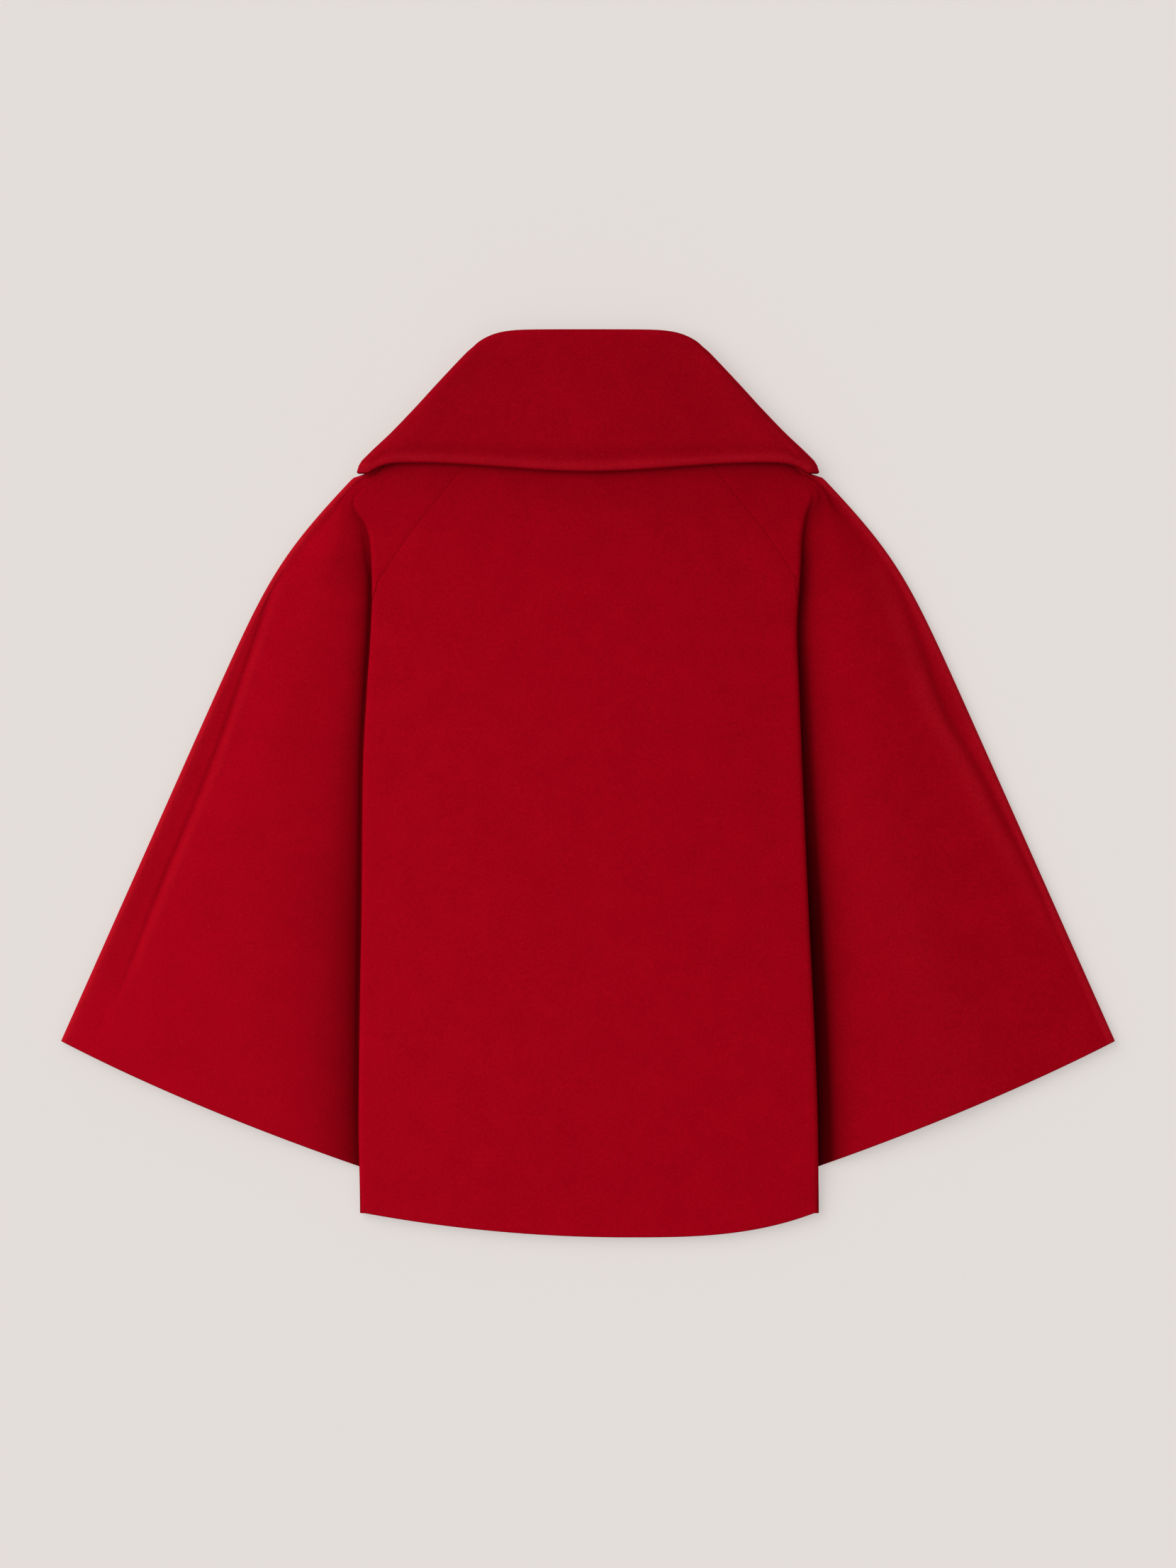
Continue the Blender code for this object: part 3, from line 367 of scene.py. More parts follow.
COLLAR_SIDE = table(
    "share sum",
    (0, 466), (0.07, 466.9), (0.154, 466.6), (0.335, 465.4), (0.51, 463.8), (0.7, 463), (0.9, 464),
    (0.955, 464), (0.98, 462.4), (1, 458.6),
)

RAGLAN_BACK = table(
    "y x",
    (323.2, 60), (290, 88), (239.7, 128), (208.5, 152.7), (182, 170.1), (166.5, 179),
)

RAGLAN_FRONT = table(
    "y x",
    (298.4, 50), (262, 84), (225, 119), (190, 148), (160, 166), (125, 172),
)


@dataclass(frozen=True)
class SleeveGuide:
    """What keeps the guiding corners of a sleeve's top in order where the sleeve is narrow."""

    reaches: tuple[tuple[str, float], ...] = (
        ("foot", 0.1), ("near_x", 0.18), ("shoulder_x", 0.32), ("crest_x", 0.5)
    )
    rises: tuple[tuple[str, float], ...] = (("near", 0.2), ("shoulder", 0.4), ("crest", 0.5))
    under_edge: float = 2.0
    base_share: float = 0.9
    foot_rise: float = 0.06
    between_x: float = 0.55
    between_z: float = 0.42
    ridge_in: float = 1.0
    ridge_share: float = 0.3
    ridge_slope: float = 0.05
    ridge_rise: float = 0.3
    band_out: float = 11.0
    band_least: float = 3.0
    band_share: float = 0.14
    band_slope: float = 0.04
    band_from: float = 8.0
    roll_flat: float = 1.6
    roll_share: float = 0.05


@dataclass(frozen=True)
class GarmentForm:
    """The sizes that the pieces share."""

    outline: Outline = Outline()
    neck: NeckLine = NeckLine()
    collar: CollarForm = CollarForm()
    folds: FoldForm = FoldForm()
    guide: SleeveGuide = SleeveGuide()
    wrap_from: float = 166.5
    wrap_turned: float = 134.0
    wrap_to: float = 114.0
    top_ease: float = 150.0
    back_top_ease: float = 60.0
    hem_ease: float = 120.0
    row_step: float = 4.0
    fine_row_step: float = 2.0
    fine_rows_to: float = 130.0

    def rows(self, end: float) -> Array:
        """The nominal y of every row from the neck down to the end, closer at the shoulders."""
        fine = np.arange(self.neck.first_row, self.fine_rows_to, -self.fine_row_step)
        coarse = np.arange(fine[-1] - self.row_step, end + self.row_step / 2, -self.row_step)
        return np.concatenate([fine, coarse, [end]])

    def floor_height(self, x: Array, y: Array) -> Array:
        """Mid-height of the lowest cloth, lifted where the front of the collar lies below it."""
        inside = (y - self.collar.front_edge(x)) / self.folds.collar_lift_reach + 1
        return self.folds.half_wall + self.folds.collar_lift * smooth(inside)

    def hem_share(self, y: Array) -> Array:
        """How strongly a row at y follows the hem: 1 on the last row, 0 well above the underarm."""
        start = self.outline.underarm_y + self.hem_ease
        return smooth((start - y) / (start - self.outline.hem_row))


def turned(
    x: Array, z: Array, heading: Array, length: Array, angle: Array, t: Array
) -> tuple[Array, Array, Array]:
    """Follows an arc.

    Args:
        x: where the arc starts, across.
        z: where it starts, in height.
        heading: its direction at the start, in radians above +X.
        length: the arc's length.
        angle: how far it turns, in radians.
        t: the share of the arc to follow.

    Returns:
        The point's x and z, and the heading there.
    """
    straight = np.abs(angle) < STRAIGHT
    bend = np.where(straight, 1.0, angle)
    radius = length / bend
    end = heading + bend * t
    arc_x = radius * (np.sin(end) - np.sin(heading))
    arc_z = -radius * (np.cos(end) - np.cos(heading))
    return (
        x + np.where(straight, np.cos(heading) * length * t, arc_x),
        z + np.where(straight, np.sin(heading) * length * t, arc_z),
        np.where(straight, heading, end),
    )


def soft_curve(corners: list[tuple[Array, Array]], t: Array) -> tuple[Array, Array]:
    """Reads the smooth curve that these corners guide.

    Args:
        corners: the guiding corners, each an x and a z.
        t: the share of the curve, from 0 to 1.

    Returns:
        The points' x and z.
    """
    pieces = len(corners) - 2
    i = np.clip((t * pieces).astype(int), 0, pieces - 1)
    s = t * pieces - i
    found = []
    for axis in range(2):
        grid = np.stack([np.broadcast_to(c[axis], t.shape) for c in corners])
        before, corner, after = (np.take_along_axis(grid, (i + n)[None], 0)[0] for n in range(3))
        start = np.where(i == 0, before, (before + corner) / 2)
        end = np.where(i == pieces - 1, after, (corner + after) / 2)
        found.append(start * (1 - s) ** 2 + 2 * corner * s * (1 - s) + end * s * s)
    return found[0], found[1]


class Section:
    """The cross-sections of one half at many values of y."""

    def __init__(self, form: GarmentForm, side: Side, y: Array, cuff_share: Array = 0.5) -> None:
        """Works out the folded edge at each y.

        Args:
            form: the garment's sizes.
            side: the half.
            y: where the sections are.
            cuff_share: how far along the cuff each point is, from the fold (0) to the roll (1).
        """
        self.form, self.side, self.y, self.cuff_share = form, side, y, cuff_share
        folds = form.folds
        self.sleeve = RIGHT_SLEEVE if side is Side.RIGHT else LEFT_SLEEVE
        self.edge = EDGE.at(side.label, y)
        self.half = form.outline.half_width(y)
        self.centre_z = HEIGHT.at("centre", y) - folds.half_wall
        self.edge_z = HEIGHT.at(side.label, y) - folds.half_wall
        self.tuck = TURN.at("tuck", y)
        self.heading = -2 * (self.centre_z - self.edge_z) / self.edge
        self.turn = np.maximum(np.radians(TURN.at("turn", y)), folds.least_angle - self.heading)
        self.turn_length = np.maximum(folds.radius * self.turn, folds.least_turn)
        reach = (folds.radius + folds.half_wall) * np.sin(np.minimum(self.turn, math.pi / 2))
        self.start_x = self.edge - reach
        self.start_z = self.dome(self.start_x)

    def dome(self, x: Array) -> Array:
        """Mid-height of the back, crowned at the centre."""
        share = np.minimum(x / self.edge, 1.0)
        return self.edge_z + (self.centre_z - self.edge_z) * (1 - share * share)

    def fold(self, u: Array) -> tuple[Array, Array, Array]:
        """The point (x, z) and the heading on the folded edge, its tuck or the turn below it."""
        first = np.clip(u - Station.FOLD, 0.0, 1.0)
        down = -self.turn - self.heading
        point = turned(self.start_x, self.start_z, self.heading, self.turn_length, down, first)
        flat = np.clip(u - Station.TURNED, 0.0, 1.0)
        point = turned(*point, self.tuck, np.zeros_like(u), flat)
        length = np.maximum(self.sleeve.at("under", self.y) * self.turn, self.form.folds.least_turn)
        return turned(*point, length, self.turn, np.clip(u - Station.TUCKED, 0.0, 1.0))

    def sleeve_corners(self) -> list[tuple[Array, Array]]:
        """The corners that guide the top of the sleeve, from under the fold to the outer roll."""
        form, folds, guide = self.form, self.form.folds, self.form.guide
        row = {name: self.sleeve.at(name, self.y) for name in SLEEVE_COLUMNS.split()[1:]}
        low_x, low_z, _ = self.fold(np.full_like(self.y, Station.SLEEVE))
        roll_x = self.half - folds.half_wall - folds.outer_roll
        roll_z = form.floor_height(roll_x, self.y) + 2 * folds.outer_roll
        base_x = np.maximum(low_x, self.edge - guide.under_edge)
        room = roll_x - base_x
        ease = smooth((self.half - self.edge - folds.folds_from) / folds.folds_over)
        cuff = form.outline.underarm_y + form.outline.cuff_rise * self.cuff_share
        sag = 1 - folds.cuff_sag * (1 - smooth((self.y - cuff) / folds.cuff_sag_reach))
        foot_x, near_x, shoulder_x, crest_x = (
            base_x + np.minimum(row[name], share * room) for name, share in guide.reaches
        )
        near_z, shoulder_z, crest_z = (
            lerp(lerp(low_z, roll_z, share), low_z + row[name] * sag, ease)
            for name, share in guide.rises
        )
        inset = row["inset"]
        ridge_x = roll_x - np.minimum(inset + guide.ridge_in, guide.ridge_share * room)
        band = np.maximum(inset - guide.band_out, guide.band_least)
        ridge_rise = (guide.ridge_slope * inset + row["step"]) * sag + guide.ridge_rise
        ridge_z = roll_z + ridge_rise * ease
        band_z = roll_z + guide.band_slope * np.maximum(inset - guide.band_from, 0.0) * ease
        return [
            (low_x, low_z),
            (lerp(low_x, base_x, guide.base_share), low_z),
            (foot_x, lerp(low_z, near_z, guide.foot_rise)),
            (near_x, near_z),
            (shoulder_x, shoulder_z),
            (crest_x, crest_z),
            (lerp(crest_x, ridge_x, guide.between_x), lerp(crest_z, ridge_z, guide.between_z)),
            (ridge_x, ridge_z),
            (roll_x - np.minimum(band, guide.band_share * room), band_z),
            (roll_x - np.minimum(guide.roll_flat, guide.roll_share * room), roll_z),
            (roll_x, roll_z),
        ]

    def front_seam_x(self) -> Array:
        """Where the sleeve meets the front on the hidden side."""
        folds = self.form.folds
        inside = self.edge - folds.front_inset
        upper = np.minimum(RAGLAN_FRONT.at("x", self.y), inside)
        lower = lerp(folds.seam_low_x, inside, smooth(1 - self.y / folds.seam_low_y))
        return np.where(self.y > folds.seam_low_y, upper, lower)

    def point(self, u: Array) -> tuple[Array, Array]:
        """The mid-surface points (x, z) at stations u."""
        folds = self.form.folds
        top_x = self.start_x * np.minimum(u, 1.0)
        roll_x = self.half - folds.half_wall - folds.outer_roll
        floor_z = self.form.floor_height(roll_x, self.y)
        angle = math.pi * np.clip(u - Station.ROLL, 0.0, 1.0)
        span = Station.ROLL - Station.SLEEVE
        fold_x, fold_z, _ = self.fold(u)
        sleeve_t = np.clip((u - Station.SLEEVE) / span, 0.0, 1.0)
        sleeve_x, sleeve_z = soft_curve(self.sleeve_corners(), sleeve_t)
        seam_x = self.front_seam_x()
        under_x = np.where(
            u <= Station.FRONT_SEAM,
            lerp(roll_x, seam_x, u - Station.UNDER),
            seam_x * (Station.CENTRE_FRONT - u),
        )
        bounds = [u <= Station.FOLD, u <= Station.SLEEVE, u <= Station.ROLL, u <= Station.UNDER]
        x = np.select(
            bounds,
            [top_x, fold_x, sleeve_x, roll_x + folds.outer_roll * np.sin(angle)],
            under_x,
        )
        z = np.select(
            bounds,
            [self.dome(top_x), fold_z, sleeve_z, floor_z + folds.outer_roll * (1 + np.cos(angle))],
            self.form.floor_height(under_x, self.y),
        )
        return x, z


def seam_station(form: GarmentForm, side: Side, y: Array) -> Array:
    """The station of the back's seam: on the top above the fold, then round and under it.

    Args:
        form: the garment's sizes.
        side: the half.
        y: where the sections are.

    Returns:
        The station at each y.
    """
    section = Section(form, side, y)
    above = np.minimum(RAGLAN_BACK.at("x", y) / section.start_x, Station.FOLD)
    round_it = (form.wrap_from - y) / (form.wrap_from - form.wrap_turned)
    under = (form.wrap_turned - y) / (form.wrap_turned - form.wrap_to)
    bent = (section.turn - math.pi / 2) / section.turn
    opened = smooth((form.outline.underarm_y - y) / form.folds.side_opening)
    return np.select(
        [y >= form.wrap_from, y >= form.wrap_turned, y >= form.wrap_to],
        [above, Station.FOLD + round_it, Station.TURNED + under],
        Station.TUCKED + np.maximum(bent, 0.0) * opened,
    )


# half and rounding shape the cloth; the last two carry painted shade and painted highlight into the
# colour
CARRIED = ("half", "rounding", "hollow", "painted_highlight")


@dataclass(frozen=True)
class Grid:
    """A sheet's mid-surface: points in rows and columns, with the values that each point carries.

    Args:
        points: rows by columns by three, in millimetres.
        flip: whether the faces turn over.
        half: the half thickness.
        rounding: how far a cut edge is rounded.
        hollow: painted shade that darkens the point, from 0 to 1.
        painted_highlight: painted highlight that lightens the point, from 0 to 1.
    """

    points: Array
    flip: bool
    half: Array | float = 1.1
    rounding: Array | float = 0.2
    hollow: Array | float = 0.0
    painted_highlight: Array | float = 0.0


@dataclass
class Sheet:
    """Cloth of real thickness, made from grids of mid-surface points that share their edges.

    Args:
        name: the piece's name.
        grids: the grids.
        arc_steps: the steps round each corner of the cut edge.
    """

    name: str
    grids: list[Grid] = field(default_factory=list)
    arc_steps: int = 3

    def middle(self) -> tuple[Array, Array, dict[str, Array], list[list[int]]]:
        """Joins the grids.

        Returns:
            The points, their normals, the values that they carry, and the faces.
        """
        made = bmesh.new()
        layers = {name: made.verts.layers.float.new(name) for name in CARRIED}
        for grid in self.grids:
            rows, columns = grid.points.shape[:2]
            shape = (rows, columns)
            carried = {
                name: np.broadcast_to(getattr(grid, name), shape).reshape(-1) for name in CARRIED
            }
            index = []
            for n, point in enumerate(grid.points.reshape(-1, 3)):
                vertex = made.verts.new(Vector(point) * MM)
                for name, layer in layers.items():
                    vertex[layer] = carried[name][n]
                index.append(vertex)
            for j in range(rows - 1):
                for k in range(columns - 1):
                    corners = (j, k), (j + 1, k), (j + 1, k + 1), (j, k + 1)
                    ring = [index[r * columns + c] for r, c in corners]
                    made.faces.new(ring[::-1] if grid.flip else ring)
        bmesh.ops.remove_doubles(made, verts=made.verts, dist=MERGE)
        bmesh.ops.dissolve_degenerate(made, edges=made.edges, dist=MERGE)
        made.normal_update()
        made.verts.index_update()
        points = np.array([v.co for v in made.verts]) / MM
        normals = np.array([v.normal for v in made.verts])
        values = {name: np.array([v[layer] for v in made.verts]) for name, layer in layers.items()}
        faces = [[v.index for v in f.verts] for f in made.faces]
        made.free()
        return points, normals, values, faces

    def rim(self, points: Array, normals: Array, faces: list[list[int]]) -> tuple[list, Array]:
        """Finds the cut edge.

        Args:
            points: the mid-surface points.
            normals: their normals.
            faces: the faces.

        Returns:
            The directed edges of the rim, and the outward direction at every point.
        """
        used = {(a, b) for face in faces for a, b in zip(face, face[1:] + face[:1])}
        edges = [(a, b) for a, b in used if (b, a) not in used]
        edges.sort()
        outward = np.zeros_like(points)
        for a, b in edges:
            along = points[b] - points[a]
            along = along / max(float(np.linalg.norm(along)), MERGE)
            for v in (a, b):
                outward[v] += np.cross(along, normals[v])
        outward -= normals * np.sum(outward * normals, axis=1, keepdims=True)
        size = np.linalg.norm(outward, axis=1, keepdims=True)
        return edges, outward / np.where(size > 0, size, 1.0)

    def build(self) -> bpy.types.Object:
        """Makes the thick cloth.

        Returns:
            The piece, with the float attributes "rim", 1 on the cut edge, "hollow", the painted
            shade, and "raised", the painted highlight.
        """
        points, normals, values, faces = self.middle()
        half, rounding = values["half"], values["rounding"]
        edges, outward = self.rim(points, normals, faces)
        rim_points = sorted({a for edge in edges for a in edge})
        count = len(points)
        top = list(range(count))
        bottom = [n + count for n in range(count)]
        placed = [*(points + normals * half[:, None]), *(points - normals * half[:, None])]
        cut = [0.0] * (2 * count)
        owner = [*range(count), *range(count)]
        strips: dict[int, list[int]] = {}
        quarter = [math.pi / 2 * n / self.arc_steps for n in range(self.arc_steps + 1)]
        for v in rim_points:
            r = min(rounding[v], half[v])
            profile = [(r * math.sin(a) - r, half[v] - r + r * math.cos(a)) for a in quarter]
            profile += [(s, -z) for s, z in reversed(profile) if z > MERGE]
            strip = []
            for n, (s, z) in enumerate(profile):
                place = points[v] + outward[v] * s + normals[v] * z
                if n == 0:
                    placed[v], index = place, v
                elif n == len(profile) - 1:
                    placed[v + count], index = place, v + count
                else:
                    index = len(placed)
                    placed.append(place)
                    cut.append(1.0)
                    owner.append(v)
                strip.append(index)
            strips[v] = strip
        made = [[top[v] for v in face] for face in faces]
        made += [[bottom[v] for v in reversed(face)] for face in faces]
        for a, b in edges:
            for n in range(len(strips[a]) - 1):
                made.append([strips[b][n], strips[a][n], strips[a][n + 1], strips[b][n + 1]])
        mesh = bpy.data.meshes.new(self.name)
        mesh.from_pydata((np.array(placed) * MM).tolist(), [], made)
        mesh.validate()
        mesh.shade_smooth()
        # hollow carries painted shade and raised carries painted highlight into the material
        tones = {"rim": cut, "hollow": values["hollow"][owner], "painted_highlight": values["painted_highlight"][owner]}
        for name, tone in tones.items():
            mesh.attributes.new(name, "FLOAT", "POINT").data.foreach_set("value", np.array(tone))
        obj = bpy.data.objects.new(self.name, mesh)
        bpy.context.scene.collection.objects.link(obj)
        return obj


class NodeTree:
    """A short way to place and join shader nodes."""

    def __init__(self, tree: bpy.types.NodeTree) -> None:
        """Keeps the tree that the nodes go into."""
        self.tree = tree

    def node(self, kind: str, **settings: object) -> bpy.types.Node:
        """A new node of this kind, with these settings."""
        made = self.tree.nodes.new(kind)
        for name, value in settings.items():
            setattr(made, name, value)
        return made

    def feed(self, target: bpy.types.NodeSocket, value: object) -> None:
        """Links a socket to the target, or sets a plain value on it."""
        if isinstance(value, bpy.types.NodeSocket):
            self.tree.links.new(value, target)
        else:
            target.default_value = value

    def fed(self, kind: str, inputs: dict[object, object], **settings: object) -> bpy.types.Node:
        """A new node whose inputs are fed.

        Args:
            kind: the node's type.
            inputs: a socket or a value for each input, by name or number.
            **settings: the node's own settings.

        Returns:
            The node.
        """
        made = self.node(kind, **settings)
        for place, value in inputs.items():
            self.feed(made.inputs[place], value)
        return made

    def math(
        self, operation: str, a: object, b: object, clamp: bool = False
    ) -> bpy.types.NodeSocket:
        """The result of a math node on two sockets or numbers, held from 0 to 1 if clamped."""
        made = self.fed("ShaderNodeMath", {0: a, 1: b}, operation=operation, use_clamp=clamp)
        return made.outputs[0]

    def noise(
        self, vector: object, scale: object, detail: float, rough: float
    ) -> bpy.types.NodeSocket:
        """The value of a noise texture read at the vector; the scale is a number or a socket."""
        inputs = {"Vector": vector, "Scale": scale, "Detail": detail, "Roughness": rough}
        return self.fed("ShaderNodeTexNoise", inputs).outputs["Fac"]

    def spread(self, value: object, ends: tuple[float, float]) -> bpy.types.NodeSocket:
        """The value stretched so that the two ends become 0 and 1, held within them."""
        inputs = {"Value": value, "From Min": ends[0], "From Max": ends[1]}
        return self.fed("ShaderNodeMapRange", inputs, clamp=True).outputs["Result"]

    def mix(self, share: object, a: object, b: Colour) -> bpy.types.NodeSocket:
        """The colour a share of the way from a, a socket or a colour, to the colour b."""
        first = a if isinstance(a, bpy.types.NodeSocket) else (*a, 1.0)
        inputs = {0: share, 6: first, 7: (*b, 1.0)}
        return self.fed("ShaderNodeMix", inputs, data_type="RGBA", clamp_factor=True).outputs[2]

    def carried(self, name: str) -> bpy.types.NodeSocket:
        """A value that the mesh carries."""
        return self.node("ShaderNodeAttribute", attribute_name=name).outputs["Fac"]

    def bump(self, height: object, distance: float, **inputs: object) -> bpy.types.NodeSocket:
        """The normal of a bump node whose height reaches this far, in millimetres."""
        inputs |= {"Strength": 1.0, "Distance": distance * MM, "Height": height}
        return self.fed("ShaderNodeBump", inputs).outputs["Normal"]


def group_sockets(
    tree: bpy.types.NodeTree, inputs: dict[str, object], outputs: tuple[str, ...]
) -> tuple[bpy.types.Node, bpy.types.Node]:
    """Gives a node group its named inputs and outputs.

    Args:
        tree: the group.
        inputs: each input's name and default; None stands for a vector.
        outputs: the names of the outputs, all of them values.

    Returns:
        The group's input and output nodes.
    """
    for name, default in inputs.items():
        kind = "NodeSocketVector" if default is None else "NodeSocketFloat"
        made = tree.interface.new_socket(name, in_out="INPUT", socket_type=kind)
        if default is not None:
            made.default_value = default
    for name in outputs:
        tree.interface.new_socket(name, in_out="OUTPUT", socket_type="NodeSocketFloat")
    return tree.nodes.new("NodeGroupInput"), tree.nodes.new("NodeGroupOutput")


@dataclass(frozen=True)
class FeltNap:
    """The brushed nap of felted wool: clumps, combed fibres, broad changes and light flecks."""

    clump_scale: float = 420.0
    clump_detail: float = 4.0
    clump_rough: float = 0.62
    clump_part: float = 0.45
    fibre_scale: float = 1500.0
    fibre_detail: float = 3.0
    fibre_rough: float = 0.6
    fibre_part: float = 0.35
    combed: tuple[float, float, float] = (1.0, 0.38, 1.0)
    broad_scale: float = 38.0
    broad_detail: float = 3.0
    broad_rough: float = 0.55
    broad_part: float = 0.2
    speck_scale: float = 760.0
    speck_detail: float = 2.0
    speck_rough: float = 0.5
    fleck_ends: tuple[float, float] = (0.66, 0.78)
    fleck_part: float = 0.2
    tone_ends: tuple[float, float] = (0.33, 0.67)

    def group(self) -> bpy.types.NodeTree:
        """Builds the node group.

        Returns:
            A group with a tone, light flecks and a height.
        """
        tree = bpy.data.node_groups.new("Felt nap", "ShaderNodeTree")
        inputs = {"Vector": None, "Clump Scale": self.clump_scale, "Fibre Scale": self.fibre_scale}
        start, end = group_sockets(tree, inputs, ("Tone", "Flecks", "Height"))
        place, clump_scale, fibre_scale = (start.outputs[name] for name in inputs)
        nodes = NodeTree(tree)
        clumps = nodes.noise(place, clump_scale, self.clump_detail, self.clump_rough)
        combed = nodes.fed("ShaderNodeMapping", {"Scale": self.combed, "Vector": place}).outputs[0]
        fibres = nodes.noise(combed, fibre_scale, self.fibre_detail, self.fibre_rough)
        broad = nodes.noise(place, self.broad_scale, self.broad_detail, self.broad_rough)
        specks = nodes.noise(place, self.speck_scale, self.speck_detail, self.speck_rough)
        flecks = nodes.spread(specks, self.fleck_ends)
        clump_part = nodes.math("MULTIPLY", clumps, self.clump_part)
        fine = nodes.math("ADD", clump_part, nodes.math("MULTIPLY", fibres, self.fibre_part))
        tone = nodes.math("ADD", fine, nodes.math("MULTIPLY", broad, self.broad_part))
        height = nodes.math("ADD", fine, nodes.math("MULTIPLY", flecks, self.fleck_part))
        made = {"Tone": nodes.spread(tone, self.tone_ends), "Flecks": flecks, "Height": height}
        for name, value in made.items():
            nodes.feed(end.inputs[name], value)
        return tree


@dataclass(frozen=True)
class SlowWave:
    """The slow unevenness of a thick cloth that has been steamed and laid out."""

    scale: float = 22.0
    detail: float = 2.0
    rough: float = 0.5

    def group(self) -> bpy.types.NodeTree:
        """Builds the node group.

        Returns:
            A group with one height.
        """
        tree = bpy.data.node_groups.new("Slow wave", "ShaderNodeTree")
        start, end = group_sockets(tree, {"Vector": None, "Scale": self.scale}, ("Height",))
        nodes = NodeTree(tree)
        wide = nodes.noise(start.outputs["Vector"], start.outputs["Scale"], self.detail, self.rough)
        nodes.feed(end.inputs["Height"], wide)
        return tree


@dataclass(frozen=True)
class WoolFinish:
    """Matte felted wool: a red ground, a lighter nap and darker cut edges, with painted shade,
    painted highlight and a painted falloff of light.
    """

    name: str
    ground: Colour
    nap: Colour
    shade: Colour
    edge: Colour
    # the colour that the painted shade darkens towards
    deep: Colour = (0.07, 0.0002, 0.0015)
    roughness: float = 0.95
    sheen: float = 0.3
    sheen_roughness: float = 0.3
    sheen_tint: Colour = (1.0, 0.012, 0.03)
    nap_height: float = 0.35
    wave_height: float = 0.5
    # painted falloff of light: lighter to the left and towards the hem, darker to the right and
    # towards the collar
    falloff_across: float = 0.9
    falloff_along: float = 0.35
    fleck_share: float = 0.55
    # the painted highlight is broken up by the nap's tone down to this share
    least_highlight: float = 0.4
    smoother: float = 0.08

    def material(self, nap: bpy.types.NodeTree, wave: bpy.types.NodeTree) -> bpy.types.Material:
        """Builds the material.

        Args:
            nap: the nap's node group.
            wave: the slow wave's node group.

        Returns:
            The material.
        """
        made = bpy.data.materials.new(self.name)
        made.use_nodes = True
        nodes = NodeTree(made.node_tree)
        shader = made.node_tree.nodes["Principled BSDF"]
        place = nodes.node("ShaderNodeTexCoord").outputs["Object"]
        felt = nodes.fed("ShaderNodeGroup", {"Vector": place}, node_tree=nap).outputs
        slow = nodes.fed("ShaderNodeGroup", {"Vector": place}, node_tree=wave).outputs
        # painted falloff of light: the tone shifts with the position across and along the garment
        falloff_place = nodes.fed("ShaderNodeSeparateXYZ", {0: place}).outputs
        across = nodes.math("MULTIPLY", falloff_place["X"], -self.falloff_across)
        along = nodes.math("MULTIPLY", falloff_place["Y"], -self.falloff_along)
        tone = nodes.math("ADD", felt["Tone"], nodes.math("ADD", across, along), clamp=True)
        # the painted highlight's strength, broken up by the nap's tone
        stirred = nodes.math("MULTIPLY", felt["Tone"], 1 - self.least_highlight)
        strength = nodes.math("ADD", stirred, self.least_highlight)
        highlight_amount = nodes.math("MULTIPLY", nodes.carried("painted_highlight"), strength)
        flecks = nodes.math("MULTIPLY", felt["Flecks"], self.fleck_share)
        colour = nodes.mix(tone, self.shade, self.ground)
        # lighter nap flecks, the cloth's own texture, plus the painted highlight carried by the mesh
        colour = nodes.mix(nodes.math("ADD", flecks, highlight_amount, clamp=True), colour, self.nap)
        # painted shade carried by the mesh darkens the colour towards deep
        colour = nodes.mix(nodes.carried("hollow"), colour, self.deep)
        colour = nodes.mix(nodes.carried("rim"), colour, self.edge)
        rough = nodes.math("MULTIPLY", felt["Tone"], -self.smoother)
        soft = nodes.bump(slow["Height"], self.wave_height)
        inputs = {
            "Base Color": colour,
            "Roughness": nodes.math("ADD", rough, self.roughness, clamp=True),
            "Specular IOR Level": 0.0,
            "Sheen Weight": self.sheen,
            "Sheen Roughness": self.sheen_roughness,
            "Sheen Tint": (*self.sheen_tint, 1.0),
            "Normal": nodes.bump(felt["Height"], self.nap_height, Normal=soft),
        }
        for name, value in inputs.items():
            nodes.feed(shader.inputs[name], value)
        return made


BODY_WOOL = WoolFinish(
    name="body_wool",
    ground=(0.385, 0.0012, 0.0092),
    nap=(0.52, 0.012, 0.022),
    shade=(0.265, 0.0006, 0.006),
    edge=(0.2, 0.0008, 0.005),
)
SLEEVE_WOOL = replace(BODY_WOOL, name="sleeve_wool")
COLLAR_WOOL = replace(
    BODY_WOOL,
    name="collar_wool",
    ground=(0.35, 0.0012, 0.0085),
    nap=(0.5, 0.012, 0.022),
    shade=(0.24, 0.0006, 0.0055),
)


def clipped_stations(base: Array, seam: Array, keep: str) -> Array:
    """Cuts a row of stations at the seam.

    Args:
        base: the stations of the columns.
        seam: the seam's station on each row.
        keep: "below" for the back's side of the seam, "above" for the sleeve's.

    Returns:
        Rows by columns; the columns past the seam lie on it.
    """
    gaps = np.diff(base, append=base[-1] + 1)
    near = SNAP * np.minimum(gaps, np.diff(base, prepend=base[0] - 1))
    u, limit = np.broadcast_arrays(base[None, :], seam[:, None])
    if keep == "below":
        return np.where(u > limit - near[None, :], limit, u)
    return np.where(u < limit + near[None, :], limit, u)


